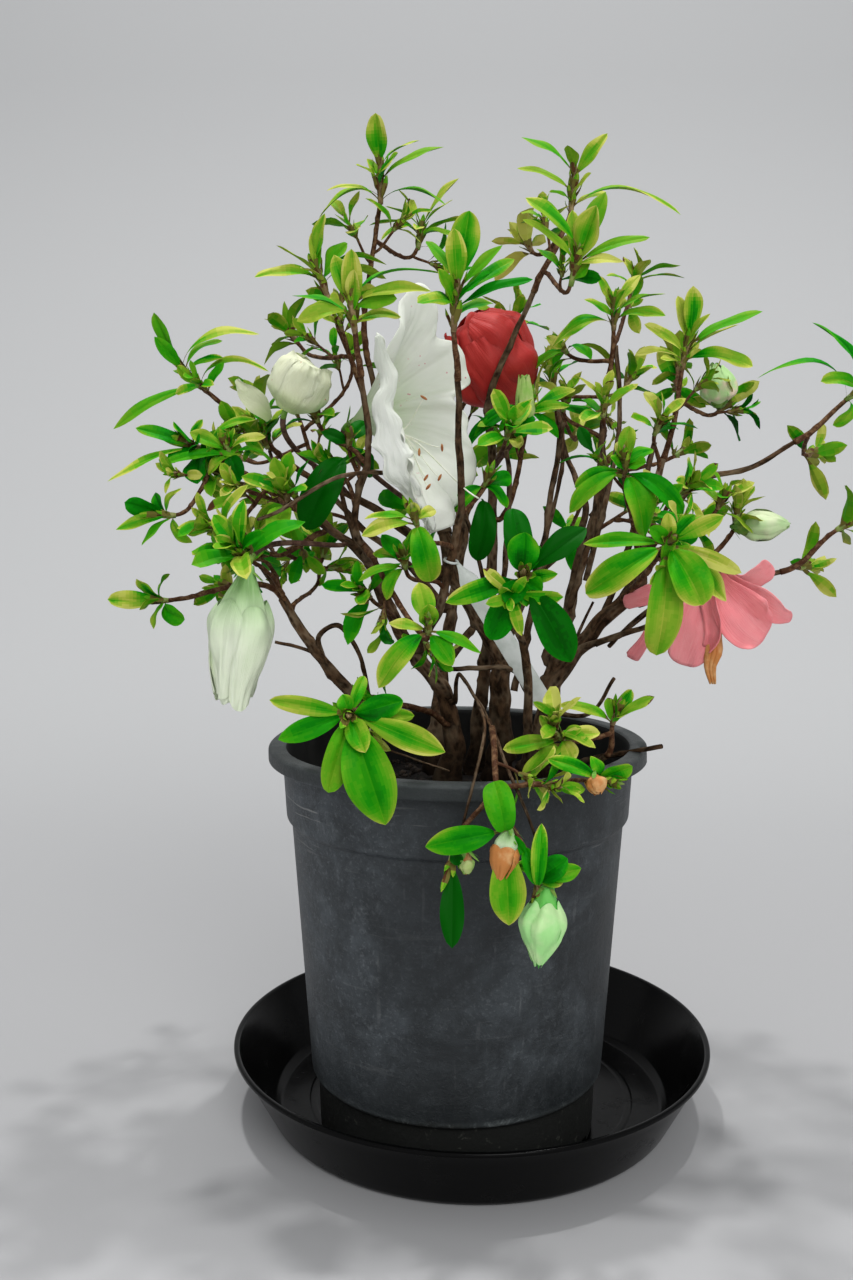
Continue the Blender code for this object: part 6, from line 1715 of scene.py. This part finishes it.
def strap_petal(heap, place, line, roll, cup, ruffle, seed, slot=0, rows=26, columns=15,
                waves=1.0):
    """A petal along a line of (right, up, out, half width) in mm, as seen in the photograph.

    Across, it is a trough of depth cup * half width * v^2 that is turned round its line by the
    roll. Its end is rounded, and ruffles grow towards its edges and its end. More waves make
    the ruffles shorter, and scallop both edges.
    """
    line = np.array(line, float)
    frame = seen_frame(place)
    places = place + (line[:, :3] @ frame) * MM
    points = through(places, rows)
    far = far_along(places)
    s = np.linspace(0, 1, rows + 1)
    half = np.interp(s, far / far[-1], line[:, 3])
    half = np.convolve(np.pad(half, 2, mode="edge"), np.ones(5) / 5, "valid") * MM
    tangent = unit(np.gradient(points, axis=0))
    side = unit(np.cross(tangent, frame[2]))
    side = unit(spun(roll, side, np.cross(side, tangent)))
    normal = np.cross(side, tangent)
    u, v = s[:, None], np.linspace(-1, 1, columns)
    flat = joined(2.4 * waves * u, 1.5 * v, seed)
    soft = ripples(flat, 0.7, seed) * ruffle * u
    frill = ripples(flat * [1.5, 1.5, 1], 0.4, seed + 1) * 0.6 * ruffle * u * (0.2 + v**2)
    wave = half.mean() * (soft + frill)
    scallop = ripples(joined(2.4 * waves * u, 2.0 * np.sign(v), 0), 0.5, seed + 2)
    half = half[:, None] * (1 + 0.30 * (waves - 1) * ruffle * scallop)
    points = (points[:, None] + side[:, None] * (half * v)[..., None]
              + normal[:, None] * (cup * half * (v**2 - 0.4) + wave)[..., None]
              - tangent[:, None] * (0.45 * half * np.abs(v)**3 * u**4)[..., None])
    heap.add(points, slot=slot)


def petal_walls(flower, node):
    """Gives a flower's petals their thin wall and lets it stand for the plain one."""
    wall = flower.modifiers.new("petal wall", "SOLIDIFY")
    wall.thickness = PETAL_THICKNESS
    wall.offset = 0.0
    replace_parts(flower, node)


def stamens(heap, place, heading, tips, radius, anther=0.0):
    """Threads from the flower's heart to their tips, each with an anther if it has a size."""
    for tip in np.array(tips, float) * MM:
        straight = tip - place
        last = unit(straight + UP * 0.2 * np.linalg.norm(straight))
        line = twig_line(place, heading, tip, last, np.zeros(3), 16)
        heap.add(tube(line, np.linspace(radius, 0.7 * radius, len(line)), 6), slot=THREAD,
                 around=True)
        if anther:
            across = unit(np.cross(unit(line[-1] - line[-2]), [0.2, 1, 0.3]))
            t = np.linspace(-1, 1, 7)
            heap.add(tube(line[-1] + across * t[:, None] * anther,
                          0.34 * anther * np.sqrt(1 - 0.95 * t**2), 7),
                     slot=ANTHER, around=True)


def outline_at(profile, s):
    """A closed bloom's share of its widest radius at shares of its length, eased."""
    known = np.array(profile, float)
    fine = np.linspace(0, 1, 65)
    eased = np.interp(fine, known[:, 0], known[:, 1])
    eased = np.convolve(np.pad(eased, 4, mode="edge"), np.ones(9) / 9, "valid")
    return np.interp(s, fine, eased)


def capped(rings):
    """Rings with both ends closed at their middles."""
    first, last = (np.broadcast_to(rings[i].mean(axis=0), (1, *rings.shape[1:]))
                   for i in (0, -1))
    return np.concatenate([first, rings, last])


def bloom_core(heap, place, heading, radius, length, profile, seed, slot):
    """A closed bloom's middle: R * outline(s) * (1 + pleats) round a straight line.

    The pleats grow towards the mouth, turn as they go, and are crumpled by noise.
    """
    s = np.linspace(0, 1, 30)[:, None]
    a = math.tau * np.arange(48) / 48
    spot = joined(s * 2.2, np.cos(a), np.sin(a))
    folds = CORE_PLEATS * s**0.7 * np.cos(5 * a + CORE_TWIST * s)
    crumple = 0.9 * CORE_PLEATS * ripples(spot, 0.5, seed)
    reach = radius * outline_at(profile, s) * (1 + folds + crumple)
    along = heading * (length * (s + 0.05 * ripples(spot, 0.7, seed + 1) * s))[..., None]
    points = place + along + reach[..., None] * spun(a, *facing(heading))
    heap.add(capped(points), slot=slot, around=True)


def wrapped_bloom(heap, place, heading, radius, length, outline, petals, seed, crumple, slot=0,
                  core=0):
    """A closed bloom: a pleated core, and petals that lie round it and over each other.

    A petal spans the angle turn +- half and runs from the share start to the share end of the
    length. Its radius is R * outline(s) * (1 + lift * (1 - q^2)) plus a little for each layer,
    where q runs across it, and its two ends are rounded. It is crumpled, and creased lengthwise.
    """
    profile = OUTLINES[outline]
    radius, length = radius * MM, length * MM
    bloom_core(heap, place, heading, 0.92 * radius, 0.97 * length, profile, seed, core)
    p = np.linspace(0, 1, 24)[:, None]
    q = np.linspace(-1, 1, 21)
    for i, (turn, half, start, end, lift) in enumerate(petals):
        low = start + 0.16 * (end - start) * np.abs(q)**2.2
        high = end - 0.10 * (end - start) * np.abs(q)**2.5
        s = low + (high - low) * p
        spot = joined(s * 2.0, 0.9 * q, i)
        bulge = lift * (1 - q**2) * np.sin(math.pi * np.clip(p * 1.25, 0, 1) * 0.8)**0.6
        layer = (0.45 + 0.35 * (i % 3)) * MM * np.clip(p * 6, 0, 1)
        crease = crumple * (ripples(spot, 0.5, seed + i)
                            + 0.5 * ripples(spot * [0.5, 3.0, 1], 0.35, seed + 30 + i) * p)
        flare = 1.2 * crumple * ripples(spot * [1, 2, 1], 0.3, seed + 60 + i) * p**4
        reach = radius * outline_at(profile, s) * (1 + bulge + crease + flare) + layer
        a = math.radians(turn) + math.radians(half) * q * (1 - 0.12 * p)
        points = (place + heading * (length * s)[..., None]
                  + reach[..., None] * spun(a, *facing(heading)))
        heap.add(points[::-1], slot=slot, uv=joined(s[::-1], 0.5 + 0.5 * q))


def calyx(heap, place, heading, size, rng):
    """Five small pointed sepals round a bloom's foot."""
    s = np.linspace(0, 1, 7)[:, None]
    v = np.linspace(-1, 1, 4)
    half = size * 0.28 * (1 - s)**0.7 * (s + 0.3)
    for i in range(5):
        out = spun(math.tau * i / 5 + rng.uniform(-0.2, 0.2), *facing(heading))
        aim = unit(out * 0.8 + heading * 0.8)
        side = unit(np.cross(aim, out))
        heap.add(place + aim * (s * size)[..., None] + side * (half * v)[..., None]
                 + out * (0.25 * size * s**2)[..., None], slot=GREEN)


def bloom_stalk(heap, limbs, limb, share, place, heading):
    """The short stalk from a limb to a bloom's base: bark, and green for the last of it."""
    seat, away = limbs[limb].seat(share, place, STALK_RADII[0] * TWIG_FOOT_SHARE)
    line = twig_line(seat, away, place + heading * 1.5 * MM, heading, np.zeros(3), 20)
    line = np.vstack([limbs[limb].at(share)[0], line])
    radii = np.linspace(*STALK_RADII, len(line))
    green = int(np.searchsorted(far_along(line[::-1])[1:], GREEN_STALK))
    split = max(2, len(line) - 1 - green)
    heap.add(tube(line[:split + 1], radii[:split + 1], 9), slot=BARK, around=True)
    heap.add(tube(line[split:], radii[split:], 9), slot=GREEN, around=True)


def make_white_flower(limbs, parts, rng):
    """The open flower: a lobed trumpet, near petals rolled outwards, stamens and a pistil."""
    heap = Heap()
    base, throat = np.array(WHITE_BASE) * MM, np.array(WHITE_THROAT) * MM
    funnel(heap, WHITE_RIM, WHITE_NOTCHES, base, throat, 610)
    middle = np.array(WHITE_MIDDLE) * MM
    strap_petal(heap, middle, WHITE_BAND, 0.0, -0.35, 0.50, 616, slot=1, rows=110, columns=25,
                waves=3.2)
    finishes = [petal_finish("white_petal"), petal_finish("white_ruffle")]
    petal_walls(heap.piece("white_flower", finishes, "petal_white"), "bloom_white_open")
    heading = unit(throat - base)
    bloom_stalk(parts, limbs, "bough_left_top", 0.12, base, heading)
    calyx(parts, base - heading * 1 * MM, heading, 8 * MM, rng)
    within = middle + np.array([1.0, -6.0, -22.0]) @ seen_frame(middle) * MM
    onwards = unit([0.8, -0.55, -0.1])
    stamens(parts, within, onwards, WHITE_STAMENS, 0.36 * MM, 1.8 * MM)
    stamens(parts, within, onwards, WHITE_PISTIL, 0.50 * MM)


def make_pink_flower(limbs, parts, rng):
    """The hanging flower: seven loose petals and the withered threads under them."""
    heap = Heap()
    place, heading = np.array([108, -50, 279]) * MM, unit([-0.10, -0.55, -0.80])
    for i, (roll, cup, ruffle, line) in enumerate(PINK_PETALS):
        strap_petal(heap, place, line, roll, cup, ruffle, 670 + 3 * i)
    flower = heap.piece("pink_flower", [petal_finish("pink_petal")], "petal_pink", merge=False)
    petal_walls(flower, "bloom_pink")
    for x in (-2.0, 0.2, 2.0):
        line = through(place + np.array([(1, -14, 4), (0.4 + x, -36, 6), (-1 + 0.8 * x, -44, 6),
                                         (0.4 + 0.5 * x, -52, 5)]) @ seen_frame(place) * MM, 14)
        parts.add(tube(line, np.array(WITHERED_RADII) * MM, 9), slot=BROWN, around=True)
    bloom_stalk(parts, limbs, "bough_far_low", 0.46, place, heading)
    calyx(parts, place, heading, 8 * MM, rng)


def make_closed_flower(node, limbs, parts, rng):
    """A closed flower by its row in the table. The cream bud has a loose petal as well."""
    (name, slot_name, finish, place, heading, size, outline, petals, seed, crumple, seat,
     sepals) = CLOSED_FLOWERS[node]
    heap = Heap()
    place, heading = np.array(place) * MM, unit(heading)
    wrapped_bloom(heap, place, heading, *size, outline, petals, seed, crumple)
    if node == "bud_cream":
        strap_petal(heap, np.array([-95, -30, 346]) * MM, CREAM_LOOSE_PETAL, 0.2, 0.25, 0.25, 726)
    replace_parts(heap.piece(name, [petal_finish(finish)], slot_name), node)
    bloom_stalk(parts, limbs, *seat, place, heading)
    if sepals:
        calyx(parts, place, heading, sepals * MM, rng)


def make_blooms(limbs):
    """Each bloom of the photograph and the smaller buds, with stalks, sepals and stamens."""
    rng = np.random.default_rng([SEED, 600])
    parts = Heap()
    make_white_flower(limbs, parts, rng)
    make_closed_flower("bloom_red", limbs, parts, rng)
    make_pink_flower(limbs, parts, rng)
    make_closed_flower("bloom_white_closed", limbs, parts, rng)
    make_closed_flower("bud_cream", limbs, parts, rng)
    buds = Heap()
    for i, (place, heading, radius, length, outline, first, slot, core) in enumerate(SMALL_BUDS):
        petals = [(turn + 20 * i, 46, first, end, 0.06) for turn, end in BUD_PETALS]
        place, heading = np.array(place) * MM, unit(heading)
        wrapped_bloom(buds, place + heading * 2 * MM, heading, radius, length, outline, petals,
                      740 + 6 * i, 0.09, slot, core)
        calyx(parts, place, heading, 7 * MM, rng)
    buds.piece("flower_buds", [petal_finish("green_white_petal"),
                               *[plain_finish(name) for name in BUD_FINISHES]],
               "petal_green_white")
    parts.piece("stalks_and_sepals", [plain_finish(name) for name in PART_FINISHES], "leaf")


def make_label(limbs):
    """The blank plastic strip, a little curled, and its loop round the twig."""
    place, radius, heading = limbs["stem_front_tall"].at(0.34)
    end = np.array(LABEL_END) * MM
    ring_radius = radius + CLEAR + LABEL_LOOP_RADIUS
    loop = place + ring_radius * spun(math.tau * np.arange(33) / 32, *facing(heading))
    heap = Heap()
    heap.add(tube(loop, np.full(len(loop), LABEL_LOOP_RADIUS), 8, closed=False), around=True)
    hang = end - place
    top = place + unit(hang - heading * (hang @ heading)) * ring_radius
    down = unit(end - top)
    length = np.linalg.norm(end - top)
    across = unit(np.cross(down, [0.0, -1.0, 0.15]))
    s = np.linspace(0, 1, 40)[:, None]
    neck, wide = LABEL_HALF_WIDTHS
    half = (neck + (wide - neck) * np.clip(s * length / (9 * MM), 0, 1)**1.5) * MM
    corner = np.clip((1 - s) * length / (1.2 * MM), 0.75, 1)
    v = np.array([-1, -0.94, 0, 0.94, 1, 0.94, 0, -0.94])
    n = np.array([-1, 1, 1, 1, 1, -1, -1, -1]) * LABEL_THICKNESS / 2
    curl = 1.5 * MM * np.sin(math.pi * s)
    strip = (top + down * (s * length)[..., None] + across * (half * corner * v)[..., None]
             + np.cross(across, down) * (curl + n)[..., None])
    heap.add(capped(strip), around=True)
    label = heap.piece("blank_label", [plain_finish("label_plastic")], "label")
    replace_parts(label, "plant_label")


# Camera, light and ground

def add_light(name, place, aim, size, power):
    data = bpy.data.lights.new(name, "AREA")
    data.shape = "DISK"
    data.size = size
    data.energy = power
    light = bpy.data.objects.new(name, data)
    light.location = place
    way = Vector(aim) - Vector(place)
    light.rotation_euler = way.to_track_quat("-Z", "Y").to_euler()
    bpy.context.scene.collection.objects.link(light)


def make_ground():
    """A pale ground that curves up into the backdrop, with painted light in its colour: palest
    far in front of the plant, paler again behind it, and darker up the backdrop.
    """
    turn = np.linspace(0, math.pi / 2, 24)
    y = [-3.0, *(BEND_START + BEND_RADIUS * np.sin(turn)), BEND_START + BEND_RADIUS]
    z = [0.0, *(BEND_RADIUS - BEND_RADIUS * np.cos(turn)), 3.5]
    mesh = bpy.data.meshes.new("ground")
    corners = [(x, a, b) for a, b in zip(y, z) for x in (-4.0, 4.0)]
    faces = [(2 * i, 2 * i + 1, 2 * i + 3, 2 * i + 2) for i in range(len(y) - 1)]
    mesh.from_pydata(corners, [], faces)
    mesh.shade_smooth()
    ground = bpy.data.objects.new("ground", mesh)
    made = Finish("pale_ground", roughness=0.8, specular_ior_level=0.1)
    back, height = made.axis("Y"), made.axis("Z")
    # Painted light: paler far in front and behind the plant, darker up the backdrop, for how the
    # lamps fall
    made.colour(made.layered((0.36, 0.36, 0.365),
                             (back.between(-1.4, -0.7), (0.680, 0.677, 0.690)),
                             (back.between(-0.50, -0.05), (0.385, 0.385, 0.39)),
                             (back.between(0.15, 0.9), (0.452, 0.456, 0.458)),
                             (height.between(0.5, 1.9), (0.328, 0.331, 0.335))))
    mesh.materials.append(made.material)
    bpy.context.scene.collection.objects.link(ground)


def make_studio():
    """The camera, the ground, a soft sky and the lamps."""
    scene = bpy.context.scene
    data = bpy.data.cameras.new("camera")
    data.lens = CAMERA_LENS
    data.sensor_width = 36.0
    camera = bpy.data.objects.new("camera", data)
    camera.location = CAMERA_PLACE
    camera.rotation_euler = (CAMERA_TILT, 0.0, 0.0)
    scene.collection.objects.link(camera)
    scene.camera = camera
    make_ground()
    world = bpy.data.worlds.new("soft sky")
    world.use_nodes = True
    sky = world.node_tree.nodes["Background"].inputs
    sky["Color"].default_value = (0.84, 0.85, 0.87, 1)
    sky["Strength"].default_value = 0.66
    scene.world = world
    for name, place, aim, size, power in LAMPS:
        add_light(name, place, aim, size, power)
    scene.view_settings.view_transform = "Standard"


def main():
    make_studio()
    make_saucer()
    make_pot()
    make_soil()
    limbs = grow_limbs()
    make_limbs(limbs)
    plant = Plant(limbs)
    grow_masses(plant)
    grow_finer_tips(plant)
    make_foliage(plant)
    make_bare_twigs()
    make_blooms(limbs)
    make_label(limbs)


main()
